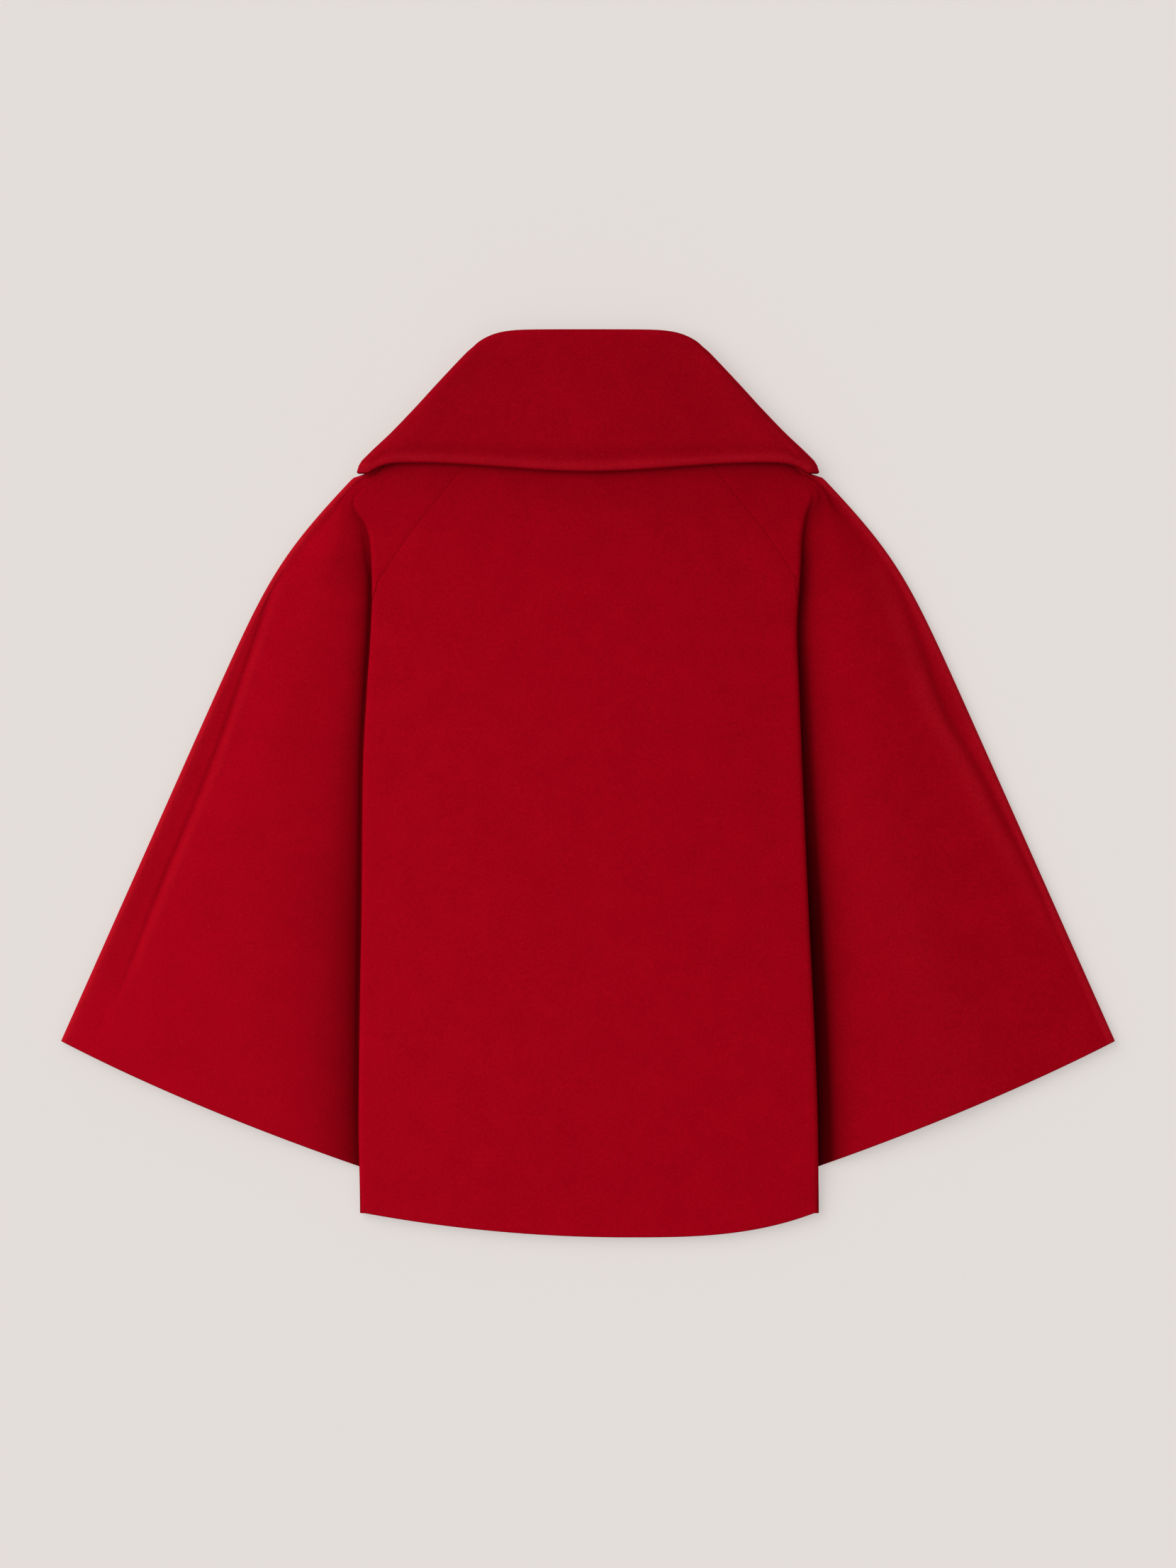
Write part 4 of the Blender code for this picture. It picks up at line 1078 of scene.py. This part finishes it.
@dataclass
class ClothPiece:
    """What every piece of the garment has: its cut and its finish."""

    form: GarmentForm
    finish: WoolFinish
    slot: Slot
    node: str
    flat: tuple[float, float]
    area: float
    rests_on: tuple[str, ...]
    cut_rounding: float = 0.55
    seam_rounding: float = 0.2
    # painted shade under the collar's lower edge
    shade_below_collar: float = 0.28
    shade_reach: float = 40.0

    @property
    def piece_name(self) -> str:
        """The name of the dressed piece."""
        return self.node + "_cloth"

    def sheet(self) -> Sheet:
        """The piece's sheet; each kind of piece makes its own."""
        raise NotImplementedError

    def rounding(self, points: Array) -> Array:
        """How far the edges round: softly on the last row, the cut one, and hardly at a seam."""
        made = np.full(points.shape[:2], self.seam_rounding)
        made[-1] = self.cut_rounding
        return made

    def collar_shade(self, y: Array) -> Array:
        """Painted shade under the collar's lower edge, fading down the garment."""
        below = np.maximum(self.form.collar.edge_y - y, 0.0)
        return self.shade_below_collar * np.exp(-below / self.shade_reach)

    def dress(self, materials: dict[str, bpy.types.Material]) -> bpy.types.Object:
        """Args:
            materials: the finished materials by name.

        Returns:
            The piece.
        """
        obj = self.sheet().build()
        obj.data.materials.append(materials[self.finish.name])
        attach(obj, "root")
        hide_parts(self.node)
        return obj


@dataclass
class BackPanel(ClothPiece):
    """The back: one panel whose sides fold over and under, down to the curved hem."""

    top_steps: int = 48
    turn_steps: int = 8
    tuck_steps: int = 5
    below_steps: int = 5
    seam_dip: float = 0.25
    seam_dip_reach: float = 3.5
    # painted shade on the cloth turned round and under the folded edge
    fold_shade: float = 0.6
    fold_shade_from: float = 1.3
    fold_shade_over: float = 0.5

    def half(self, side: Side) -> tuple[Array, Array]:
        """The mid-surface of one half.

        Args:
            side: the half.

        Returns:
            Rows by columns by three, and the station of every point.
        """
        form = self.form
        base = through(
            0.0,
            (Station.FOLD, self.top_steps),
            (Station.TURNED, self.turn_steps),
            (Station.TUCKED, self.tuck_steps),
            (Station.SLEEVE, self.below_steps),
        )
        rows = form.rows(form.outline.hem_row)
        seam = seam_station(form, side, rows)
        u = clipped_stations(base, seam, "below")
        y = np.broadcast_to(rows[:, None], u.shape)
        section = Section(form, side, y)
        x, z = section.point(u)
        seam_x = section.point(np.minimum(np.broadcast_to(seam[:, None], u.shape), Station.FOLD))[0]
        neck = form.neck
        neck_x = neck.back_half * np.minimum(x / seam_x, 1.0)
        shift = neck.share(y, form.back_top_ease) * (neck.back(neck_x) - neck.back(neck.back_half))
        hem_x = side.value * form.outline.hem_side_x * np.minimum(x / section.start_x, 1.0)
        side_y = form.outline.hem_y(side.value * form.outline.hem_side_x)
        shift = shift + form.hem_share(y) * (form.outline.hem_y(hem_x) - side_y)
        here = np.where(u < Station.FOLD, y + shift, y)
        dipped = np.where(u < Station.FOLD, Section(form, side, here).dome(x), z)
        away = (seam_x - x) / self.seam_dip_reach
        dip = self.seam_dip * np.exp(-away * away) * (y > form.wrap_from)
        return np.stack([side.value * x, here, dipped - dip], axis=-1), u

    def sheet(self) -> Sheet:
        """Both halves, joined at the centre."""
        made = Sheet(self.piece_name)
        for side in Side:
            points, u = self.half(side)
            # painted shade under the collar and on the cloth turned round and under the fold
            turned_in = smooth((u - self.fold_shade_from) / self.fold_shade_over)
            hollow = self.collar_shade(points[..., 1]) + self.fold_shade * turned_in
            half, rounding = self.form.folds.half_wall, self.rounding(points)
            hollow = np.minimum(hollow, 1.0)
            made.grids.append(Grid(points, side is Side.LEFT, half, rounding, hollow))
        return made


@dataclass(frozen=True)
class Crease:
    """A soft crease down the cloth: a trough on its outer side and a lip on its inner side.

    Args:
        line: rows of y, the crease's distance from the centre there and its strength.
        trough: the trough's depth.
        trough_width: how far the trough reaches.
        lip: the lip's height.
        lip_width: how far the lip reaches.
        dark: how much painted shade lies in the trough.
        light: how much painted highlight lies on the lip.
        beyond: how much painted shade lies outside the crease.
    """

    line: Profile
    trough: float
    trough_width: float
    lip: float
    lip_width: float
    dark: float = 0.0
    light: float = 0.0
    beyond: float = 0.0

    def height(self, x: Array, y: Array) -> Array:
        """How far the crease lifts the cloth.

        Args:
            x: the points' distance from the centre.
            y: where they are along the garment.

        Returns:
            The lift, below zero in the trough.
        """
        trough, lip, _ = self.shares(x, y)
        return self.lip * lip - self.trough * trough

    def shares(self, x: Array, y: Array) -> tuple[Array, Array, Array]:
        """How far each point lies in the trough, on the lip and outside the crease, from 0 to 1."""
        out = x - self.line.at("x", y)
        strength = self.line.at("strength", y)
        trough = np.exp(-(((out - self.trough_width) / self.trough_width) ** 2))
        lip = np.exp(-(((out + self.lip_width) / self.lip_width) ** 2))
        return strength * trough, strength * lip, strength * smooth(out / (2 * self.trough_width))


CREASE_COLUMNS = "y x strength"

CREASES = {
    Side.LEFT: (
        Crease(
            table(
                CREASE_COLUMNS,
                (190, 251, 0), (163.5, 264.9, 0.6), (133.5, 275.1, 0.95), (103.5, 285.3, 1),
                (43.5, 305.7, 1), (-16.5, 329.1, 0.9), (-76.5, 354.3, 1), (-136.5, 377.7, 0.7),
                (-166.5, 389.1, 0.4), (-195, 400, 0),
            ),
            trough=1.3,
            trough_width=2.6,
            lip=0.7,
            lip_width=4.0,
            dark=0.2,
            light=0.14,
            beyond=0.12,
        ),
    ),
    Side.RIGHT: (
        Crease(
            table(
                CREASE_COLUMNS,
                (200, 246, 0), (178.5, 254.1, 0.3), (118.5, 277.5, 0.8), (58.5, 299.7, 1),
                (28.5, 317.7, 0.9), (-31.5, 348.3, 0.8), (-61.5, 364.5, 0.6), (-121.5, 398.1, 0.3),
                (-150, 414, 0),
            ),
            trough=0.7,
            trough_width=4.0,
            lip=0.5,
            lip_width=8.0,
            dark=0.18,
            light=0.22,
            beyond=0.04,
        ),
        Crease(
            table(
                CREASE_COLUMNS,
                (60, 232, 0), (0, 250, 0.6), (-90, 282, 1), (-170, 312, 0.9), (-230, 336, 0.7),
            ),
            trough=1.5,
            trough_width=34.0,
            lip=1.2,
            lip_width=34.0,
            light=0.07,
        ),
    ),
}


SHADE_COLUMNS = "y strength start reach"

# painted shade on the sleeves beside the back's folded edge: its strength, where it starts out from
# the edge and how far it reaches
SLOT_SHADE = {
    Side.LEFT: table(
        SHADE_COLUMNS,
        (262, 0, 0, 6), (236, 0.3, 0, 8), (210, 0.45, 2, 8), (150, 0.7, 2, 6), (65, 0.6, 2, 9),
        (-25, 0.55, 2, 18), (-120, 0.68, 2, 26), (-323.5, 0.72, 2, 28),
    ),
    Side.RIGHT: table(
        SHADE_COLUMNS,
        (262, 0, 0, 6), (236, 0.3, 1, 12), (205, 0.45, 2, 12), (150, 0.6, 3, 9), (65, 0.75, 5, 11),
        (-25, 0.85, 8, 11), (-120, 1, 10, 12), (-323.5, 1, 11, 10),
    ),
}


@dataclass
class Sleeve(ClothPiece):
    """One raglan sleeve, cut in one over the shoulder, with a wide open cuff."""

    side: Side = Side.LEFT
    top_steps: int = 48
    turn_steps: int = 8
    tuck_steps: int = 5
    sleeve_steps: int = 90
    roll_steps: int = 10
    under_steps: int = 30
    seam_gap: float = 0.14
    wrap_gap: float = 0.7
    seam_probe: float = 0.01
    seam_dip: float = 0.25
    seam_dip_reach: float = 3.5
    settling: int = 4
    creases_to: float = 6.8
    creases_fade: float = 0.4
    # painted highlight along the outer roll: its strength, its reach in from the side and the
    # stations round the roll that it covers
    highlight_amount: float = 0.8
    highlight_reach: float = 4.0
    highlight_stations: float = 0.5

    def stations(self, rows: Array) -> tuple[Array, Array]:
        """The seam's station on each row, moved out by the gap, and the stations of the columns."""
        seam = seam_station(self.form, self.side, rows)
        section = Section(self.form, self.side, rows)
        near_x, near_z = section.point(seam)
        next_x, next_z = section.point(seam + self.seam_probe)
        wrapped = (self.form.wrap_from - rows) / (self.form.wrap_from - self.form.wrap_turned)
        gap = lerp(self.seam_gap, self.wrap_gap, smooth(wrapped))
        probed = np.maximum(np.hypot(next_x - near_x, next_z - near_z), MERGE)
        seam = seam + self.seam_probe * gap / probed
        base = through(
            0.0,
            (Station.FOLD, self.top_steps),
            (Station.TURNED, self.turn_steps),
            (Station.TUCKED, self.tuck_steps),
            (Station.SLEEVE, self.turn_steps),
            (Station.ROLL, self.sleeve_steps),
            (Station.UNDER, self.roll_steps),
            (Station.FRONT_SEAM, self.under_steps),
        )
        return seam, clipped_stations(base, seam, "above")

    def surface(self) -> Grid:
        """The mid-surface with its painted shade and painted highlight."""
        form, neck = self.form, self.form.neck
        outline, folds = form.outline, form.folds
        rows = form.rows(outline.underarm_y)
        seam, u = self.stations(rows)
        y = np.broadcast_to(rows[:, None], u.shape)
        top = neck.share(y, form.top_ease)
        curve_rise = outline.cuff_curve_from - outline.underarm_y
        low = np.clip((outline.cuff_curve_from - y) / curve_rise, 0, 1)
        seam_x = Section(form, self.side, rows).point(seam)[0]
        seam_x = np.where(rows > form.wrap_from, seam_x, 0.0)[:, None]
        on_back = u < (Station.ROLL + Station.UNDER) / 2
        here = y.copy()
        for _ in range(self.settling):
            section = Section(form, self.side, here)
            x = section.point(u)[0]
            share = np.clip((x - section.edge) / (section.half - section.edge), 0.0, 1.0)
            inner_x = np.where(on_back, seam_x, section.front_seam_x())
            out = np.clip((x - inner_x) / (section.half - folds.half_wall - inner_x), 0.0, 1.0)
            along = np.where(
                on_back,
                neck.back(lerp(neck.back_half, neck.point_x, out)),
                neck.front(lerp(neck.front_half, neck.point_x, out)),
            )
            here = y + top * (along - neck.back(neck.back_half)) + low * outline.cuff_rise * share
        x, z = Section(form, self.side, here, share).point(u)
        away = (x - seam_x) / self.seam_dip_reach
        dip = self.seam_dip * np.exp(-away * away) * (y > form.wrap_from) * (u <= Station.FOLD)
        past = smooth((u - self.creases_to) / self.creases_fade)
        top_face = smooth(u - Station.SLEEVE) * (1 - past)
        lift = sum(crease.height(x, here) for crease in CREASES[self.side]) * top_face
        points = np.stack([self.side.value * x, here, z - dip + lift], axis=-1)
        hollow, painted_highlight = self.tones(x, here, u)
        half, rounding = folds.half_wall, self.rounding(points)
        return Grid(points, self.side is Side.LEFT, half, rounding, hollow, painted_highlight)

    def tones(self, x: Array, y: Array, u: Array) -> tuple[Array, Array]:
        """Painted shade beside the fold, under the collar and in creases; painted highlight on rolls
        and lips.

        Args:
            x: the points' distance from the centre.
            y: where they are along the garment.
            u: their stations.

        Returns:
            The two shares, from 0 to 1.
        """
        section = Section(self.form, self.side, y)
        shade = SLOT_SHADE[self.side]
        # painted shade beside the back's folded edge and under the collar
        away = np.maximum(x - section.edge - shade.at("start", y), 0.0)
        hollow = shade.at("strength", y) * np.exp(-away / shade.at("reach", y))
        hollow = (hollow * (u > Station.TUCKED) + self.collar_shade(y)) * (u < Station.ROLL)
        # painted highlight along the outer roll
        from_side = section.half - x
        near_roll = np.abs(u - Station.ROLL) < self.highlight_stations
        painted_highlight = self.highlight_amount * np.exp(-from_side / self.highlight_reach) * near_roll
        on_sleeve = (u > Station.SLEEVE) * (u < Station.ROLL)
        # painted shade in and beyond each crease's trough, painted highlight on its lip
        for crease in CREASES[self.side]:
            trough, lip, beyond = crease.shares(x, y)
            hollow = hollow + (crease.dark * trough + crease.beyond * beyond) * on_sleeve
            painted_highlight = painted_highlight + crease.light * lip * on_sleeve
        return np.clip(hollow, 0.0, 1.0), np.clip(painted_highlight, 0.0, 1.0)

    def sheet(self) -> Sheet:
        """The whole sleeve, from the back's seam round to the front's."""
        return Sheet(self.piece_name, [self.surface()])


@dataclass
class Front(ClothPiece):
    """One plain front on the hidden side, turned up at the side seam above the hem."""

    side: Side = Side.LEFT
    curl_steps: int = 6
    flat_steps: int = 44
    seam_gap: float = 0.15
    side_gap: float = 0.4
    hem_shorter: float = 2.0

    def across(self, y: Array, share: Array) -> tuple[Array, Array]:
        """The points (x, z) of rows at y.

        Args:
            y: the rows.
            share: 0 at the seam, 1 where the curl ends and 2 at the centre front.

        Returns:
            The points' x and z.
        """
        form, folds = self.form, self.form.folds
        back = Section(form, self.side, y)
        seam = seam_station(form, self.side, y.reshape(-1)).reshape(y.shape)
        end_x, end_z = back.point(seam)
        rise = end_z - self.side_gap - folds.half_wall
        opened = smooth((form.outline.underarm_y - y) / folds.side_opening)
        curl = math.pi / 2 * opened
        flat_edge = back.front_seam_x() - self.seam_gap - folds.curl_length
        start_x = lerp(flat_edge, end_x - rise, opened)
        clearance = folds.curl_clearance * np.sin(math.pi * opened)
        length = lerp(folds.curl_length, rise * math.pi / 2, opened) - clearance
        up = np.clip(1 - share, 0.0, 1.0)
        x, z, _ = turned(start_x, folds.half_wall, np.zeros_like(y), length, curl, up)
        lift = form.floor_height(x, y) - folds.half_wall
        inner = lerp(start_x, self.seam_gap / 2, np.clip(share - 1, 0.0, 1.0))
        x = np.where(share > 1, inner, x)
        return x, np.where(share > 1, form.floor_height(x, y), z + lift)

    def surface(self) -> Array:
        """The mid-surface, rows by columns by three."""
        form, neck, outline = self.form, self.form.neck, self.form.outline
        rows = form.rows(outline.hem_row)
        share = through(0.0, (1, self.curl_steps), (2, self.flat_steps))
        y, share = np.meshgrid(rows, share, indexing="ij")
        top = neck.share(y, form.top_ease)
        shift = neck.front(neck.front_half) - neck.back(neck.back_half) - self.seam_gap
        seam_y = y + top * shift
        x, z = self.across(seam_y, share)
        edge_x = self.across(seam_y, np.ones_like(y))[0]
        seam_x = self.across(seam_y, np.zeros_like(y))[0]
        reach = neck.front_half * np.minimum(x / seam_x, 1.0)
        here = seam_y + top * (neck.front(reach) - neck.front(neck.front_half))
        out = np.minimum(x / edge_x, 1.0)
        side_y = outline.hem_y(self.side.value * outline.hem_side_x)
        rise = outline.hem_y(self.side.value * outline.hem_side_x * out) - side_y
        hem = form.hem_share(y) * (rise + self.hem_shorter * (1 - out))
        here = np.where(share >= 1, here + hem, here)
        z = np.where(share >= 1, form.floor_height(x, here), z)
        return np.stack([self.side.value * x, here, z], axis=-1)

    def sheet(self) -> Sheet:
        """The panel, from its seams to the centre front."""
        points = self.surface()
        half, rounding = self.form.folds.half_wall, self.rounding(points)
        return Sheet(self.piece_name, [Grid(points, self.side is Side.LEFT, half, rounding)])


@dataclass
class Collar(ClothPiece):
    """The folded collar: p runs round it and q from the neck seam over the fold to the edge.

    p is 0 at the centre back, 1 to 2 over the side and 3 at the centre front. q is 0 at the neck
    seam, 1 to 2 over the fold and 3 at the fall's edge.
    """

    back_steps: int = 60
    side_steps: int = 16
    front_steps: int = 40
    stand_steps: int = 10
    fold_steps: int = 12
    fall_steps: int = 46
    side_middle: float = 1.5
    bead: float = 0.8
    bead_at: float = 4.5
    bead_reach: float = 4.0
    bead_fade: float = 0.4
    groove: float = 0.55
    groove_at: float = 14.0
    groove_reach: float = 6.0
    edge_thin: float = 0.2
    edge_thin_reach: float = 1.5
    edge_rounding: float = 1.4
    # painted shade in the groove and outwards on each half, more on the left; painted highlight on
    # the bead and round the sides
    groove_shade: float = 0.12
    shade: dict[Side, float] = field(default_factory=lambda: {Side.LEFT: 0.1, Side.RIGHT: 0.02})
    shade_over: float = 110.0
    bead_highlight: float = 0.3
    side_highlight: float = 0.5
    highlight_reach: float = 0.25
    corner_bulge: float = 0.5
    edge_lift: float = 1.4
    lift_fade: float = 0.1
    tip_at: float = 152.0
    tip_reach: float = 22.0
    tip_lift: dict[Side, float] = field(default_factory=lambda: {Side.LEFT: 1.0, Side.RIGHT: 2.0})

    def side_line(self, g: Array) -> tuple[Array, Array]:
        """The outer face of the collar's side, a share g down the fall: x and y."""
        collar = self.form.collar
        x = lerp(collar.corner_x, collar.tip_x, g)
        return x, COLLAR_SIDE.at("sum", g) - x

    def panel_top(self, side: Side, x: Array, y: Array) -> Array:
        """The top face of the back and shoulders, carried on smoothly above the neck."""
        return Section(self.form, side, y).dome(x) + self.form.folds.half_wall

    def fall_z(self, side: Side, x: Array, y: Array, g: Array) -> Array:
        """Mid-height of the fall on the back."""
        collar = self.form.collar
        lift = collar.lift * (1 - smooth(g / collar.lift_over))
        return self.panel_top(side, x, y) + collar.rest + collar.wall / 2 + lift

    @staticmethod
    def loop(
        p: Array, roll_x: Array, radius: Array, low_z: Array, gap: float
    ) -> tuple[Array, Array, Array]:
        """A point round a flattened loop.

        Args:
            p: how far round it is.
            roll_x: where the side's roll starts.
            radius: the roll's radius.
            low_z: the height of the lower layer.
            gap: where the front ends.

        Returns:
            The point's x and z, and its share of the way across, 1 at the roll.
        """
        angle = math.pi * np.clip(p - 1, 0.0, 1.0)
        side_x = roll_x + radius * np.sin(angle)
        side_z = low_z + radius * (1 + np.cos(angle))
        x = np.select([p <= 1, p <= 2], [roll_x * p, side_x], lerp(roll_x, gap, p - 2))
        share = np.select([p <= 1, p <= 2], [p, np.ones_like(p)], 3 - p)
        return x, np.where(p <= 2, side_z, low_z), share

    def fall(self, side: Side, p: Array, g: Array) -> Array:
        """A point on the fall, a share g down it."""
        collar = self.form.collar
        thick = collar.wall / 2
        outer_x, side_y = self.side_line(g)
        edge = outer_x - thick
        high = self.fall_z(side, edge, side_y, g)
        radius = (high - thick) / 2
        x, z, share = self.loop(p, edge - radius, radius, thick, collar.front_gap)
        back = p < self.side_middle
        fold = np.where(back, *collar.fold_lines(x / edge))
        tip = collar.tip_x * share
        y = lerp(fold, np.where(back, collar.back_edge(tip), collar.front_edge(tip)), g)
        y = y + (side_y - lerp(collar.corner_y, collar.tip_y, g)) * share * share
        return np.stack([x, y, np.where(p <= 1, self.fall_z(side, x, y, g), z)], axis=-1)

    def stand(self, side: Side, p: Array, h: Array) -> Array:
        """A point on the stand, a share h up from the neck seam."""
        collar, neck = self.form.collar, self.form.neck
        half_wall = self.form.folds.half_wall
        thick = collar.wall / 2
        edge = lerp(neck.point_x + thick, collar.stand_corner_x, h) - thick
        low_z = collar.stand_front_z + collar.stand_front_lift * h
        side_y = lerp(neck.point_y, collar.corner_y, h)
        drop = half_wall + collar.stand_drop
        radius = (self.panel_top(side, edge, side_y) - drop - low_z) / 2
        x, z, _ = self.loop(p, edge - radius, radius, low_z, collar.front_gap)
        back_y, front_y = collar.fold_lines(x / edge)
        back = p < self.side_middle
        y = np.where(back, lerp(neck.back(x), back_y, h), lerp(neck.front(x), front_y, h))
        return np.stack([x, y, np.where(p <= 1, self.panel_top(side, x, y) - drop, z)], axis=-1)

    def surface(self, side: Side) -> Grid:
        """One half of the mid-surface, with its thickness, painted shade and painted highlight.

        Args:
            side: the half.

        Returns:
            The grid.
        """
        collar = self.form.collar
        around = through(0.0, (1, self.back_steps), (2, self.side_steps), (3, self.front_steps))
        over = through(0.0, (1, self.stand_steps), (2, self.fold_steps), (3, self.fall_steps))
        q, p = np.meshgrid(over, around, indexing="ij")
        g = np.clip(q - 2, 0.0, 1.0)
        fall = self.fall(side, p, g)
        stand = self.stand(side, p, np.clip(q, 0.0, 1.0))
        top = self.fall(side, p, np.zeros_like(p))
        away = top - self.fall(side, p, np.ones_like(p))
        away = away * (collar.lean, 1.0, 0.0)
        away /= np.linalg.norm(away, axis=-1, keepdims=True)
        angle = (math.pi * np.clip(q - 1, 0.0, 1.0))[..., None]
        fold = (stand + fall) / 2 + (stand - fall) / 2 * np.cos(angle)
        to_corner = top[..., 0] / (collar.corner_x - collar.wall / 2)
        bulge = collar.bulge * lerp(1.0, self.corner_bulge, to_corner**collar.back_power)
        fold += away * bulge[..., None] * np.sin(angle)
        point = np.where((q <= 1)[..., None], stand, np.where((q < 2)[..., None], fold, fall))
        pieces = np.linalg.norm(np.diff(point, axis=0), axis=-1)
        to_edge = np.vstack([np.cumsum(pieces[::-1], axis=0)[::-1], np.zeros_like(point[:1, :, 0])])
        on_back = (q > 2) * (1 - smooth((p - 1) / self.bead_fade))
        crest = np.exp(-(((to_edge - self.bead_at) / self.bead_reach) ** 2)) * on_back
        groove = np.exp(-(((to_edge - self.groove_at) / self.groove_reach) ** 2)) * on_back
        thin = self.edge_thin * np.exp(-to_edge / self.edge_thin_reach) * (q > 2)
        from_tip = (point[..., 0] - self.tip_at) / self.tip_reach
        stand_off = self.tip_lift[side] * np.exp(-(from_tip**2))
        settled = 1 - smooth((p - 1) / self.lift_fade + 1)
        point[..., 2] += (self.edge_lift + stand_off) * g * g * settled
        half = collar.wall / 2 + self.bead * crest - self.groove * groove - thin
        # painted shade that deepens outwards from the centre, more on the left half, and in the
        # groove
        shade = self.shade[side] * smooth(point[..., 0] / self.shade_over)
        hollow = self.groove_shade * groove + shade
        # painted highlight on the bead and round the sides
        side_highlight = np.exp(-np.abs(p - self.side_middle) / self.highlight_reach) * (q > 1)
        painted_highlight = np.clip(self.bead_highlight * crest + self.side_highlight * side_highlight, 0.0, 1.0)
        mirrored = point * (side.value, 1.0, 1.0)
        return Grid(mirrored, side is Side.LEFT, half, self.edge_rounding, hollow, painted_highlight)

    def sheet(self) -> Sheet:
        """Both halves, joined at the centre back."""
        return Sheet(self.piece_name, [self.surface(side) for side in Side], arc_steps=4)


@dataclass
class Studio:
    """The pale floor, partly lit from below, the soft light and the camera straight above."""

    floor_size: float = 14.0
    floor_colour: Colour = (0.776, 0.730, 0.701)
    floor_lit: float = 0.6
    floor_grain: tuple[float, float, float] = (60.0, 3.0, 0.5)
    floor_mottle: float = 0.99
    floor_roughness: float = 0.95
    picture_rows: int = 2212
    pixel: float = 0.0006
    camera_height: float = 12.0
    sensor: float = 36.0
    world_colour: Colour = (1.0, 0.995, 0.99)
    world_strength: float = 0.48
    key_strength: float = 2.2
    key_angle: float = 60.0
    key_from: tuple[float, float, float] = (-0.8, 0.4, 0.95)

    def floor(self) -> bpy.types.Object:
        """The floor, a wide plane at the garment's underside."""
        reach = self.floor_size / 2
        mesh = bpy.data.meshes.new("floor")
        corners = [(-reach, -reach, 0), (reach, -reach, 0), (reach, reach, 0), (-reach, reach, 0)]
        mesh.from_pydata(corners, [], [(0, 1, 2, 3)])
        obj = bpy.data.objects.new("floor", mesh)
        bpy.context.scene.collection.objects.link(obj)
        material = bpy.data.materials.new("floor")
        material.use_nodes = True
        nodes = NodeTree(material.node_tree)
        shader = material.node_tree.nodes["Principled BSDF"]
        place = nodes.node("ShaderNodeTexCoord").outputs["Object"]
        grain = nodes.noise(place, *self.floor_grain)
        plain = tuple(c * (1 - self.floor_lit) for c in self.floor_colour)
        inputs = {
            "Base Color": nodes.mix(grain, tuple(c * self.floor_mottle for c in plain), plain),
            "Emission Color": (*self.floor_colour, 1.0),
            "Emission Strength": self.floor_lit,
            "Roughness": self.floor_roughness,
            "Specular IOR Level": 0.0,
        }
        for name, value in inputs.items():
            nodes.feed(shader.inputs[name], value)
        mesh.materials.append(material)
        return obj

    def light(self) -> None:
        """An even pale surround and one wide soft key from the left."""
        world = bpy.data.worlds.new("studio")
        world.use_nodes = True
        surround = world.node_tree.nodes["Background"]
        surround.inputs["Color"].default_value = (*self.world_colour, 1.0)
        surround.inputs["Strength"].default_value = self.world_strength
        bpy.context.scene.world = world
        lamp = bpy.data.lights.new("key", "SUN")
        lamp.energy = self.key_strength
        lamp.angle = math.radians(self.key_angle)
        key = bpy.data.objects.new("key", lamp)
        key.rotation_mode = "QUATERNION"
        key.rotation_quaternion = Vector(self.key_from).to_track_quat("Z", "Y")
        bpy.context.scene.collection.objects.link(key)

    def camera(self) -> None:
        """A long lens straight above, with +Y up in the picture."""
        lens = bpy.data.cameras.new("camera")
        lens.lens = self.sensor * self.camera_height / (self.picture_rows * self.pixel)
        lens.sensor_width = self.sensor
        lens.clip_end = 10 * self.camera_height
        obj = bpy.data.objects.new("camera", lens)
        obj.location = (0.0, 0.0, self.camera_height)
        bpy.context.scene.collection.objects.link(obj)
        bpy.context.scene.camera = obj

    def build(self) -> None:
        """Sets up the whole studio."""
        self.floor()
        self.light()
        self.camera()
        bpy.context.scene.view_settings.view_transform = "Standard"


def garment(form: GarmentForm) -> list[ClothPiece]:
    """The garment's pieces in the order in which they are laid.

    Args:
        form: the sizes that they share.

    Returns:
        The pieces, not yet built.
    """
    pieces: list[ClothPiece] = []
    for side in Side:
        name = "front_" + side.label
        under = ("floor", "collar_cloth")
        pieces.append(Front(form, BODY_WOOL, Slot.BODY, name, (0.2, 0.69), 0.112, under, side=side))
    for side in Side:
        name = "sleeve_" + side.label
        pieces.append(
            Sleeve(form, SLEEVE_WOOL, Slot.SLEEVE, name, (0.56, 0.72), 0.217, ("floor",), side=side)
        )
    under = ("front_left_cloth", "front_right_cloth", "sleeve_left_cloth", "sleeve_right_cloth")
    pieces.append(BackPanel(form, BODY_WOOL, Slot.BODY, "back", (0.46, 0.706), 0.267, under))
    rests = ("back_cloth", "sleeve_left_cloth", "sleeve_right_cloth", "floor")
    pieces.append(Collar(form, COLLAR_WOOL, Slot.COLLAR, "collar", (0.78, 0.19), 0.0985, rests))
    return pieces


def main() -> None:
    """Builds the studio and the garment, and reports each piece."""
    logging.basicConfig(level=logging.INFO, format="%(message)s")
    Studio().build()
    nap, wave = FeltNap().group(), SlowWave().group()
    finishes = (BODY_WOOL, SLEEVE_WOOL, COLLAR_WOOL)
    materials = {finish.name: finish.material(nap, wave) for finish in finishes}
    for piece in garment(GarmentForm()):
        obj = piece.dress(materials)
        LOG.info("%s: %d faces", obj.name, len(obj.data.polygons))
    bpy.context.view_layer.update()


if __name__ == "__main__":
    main()
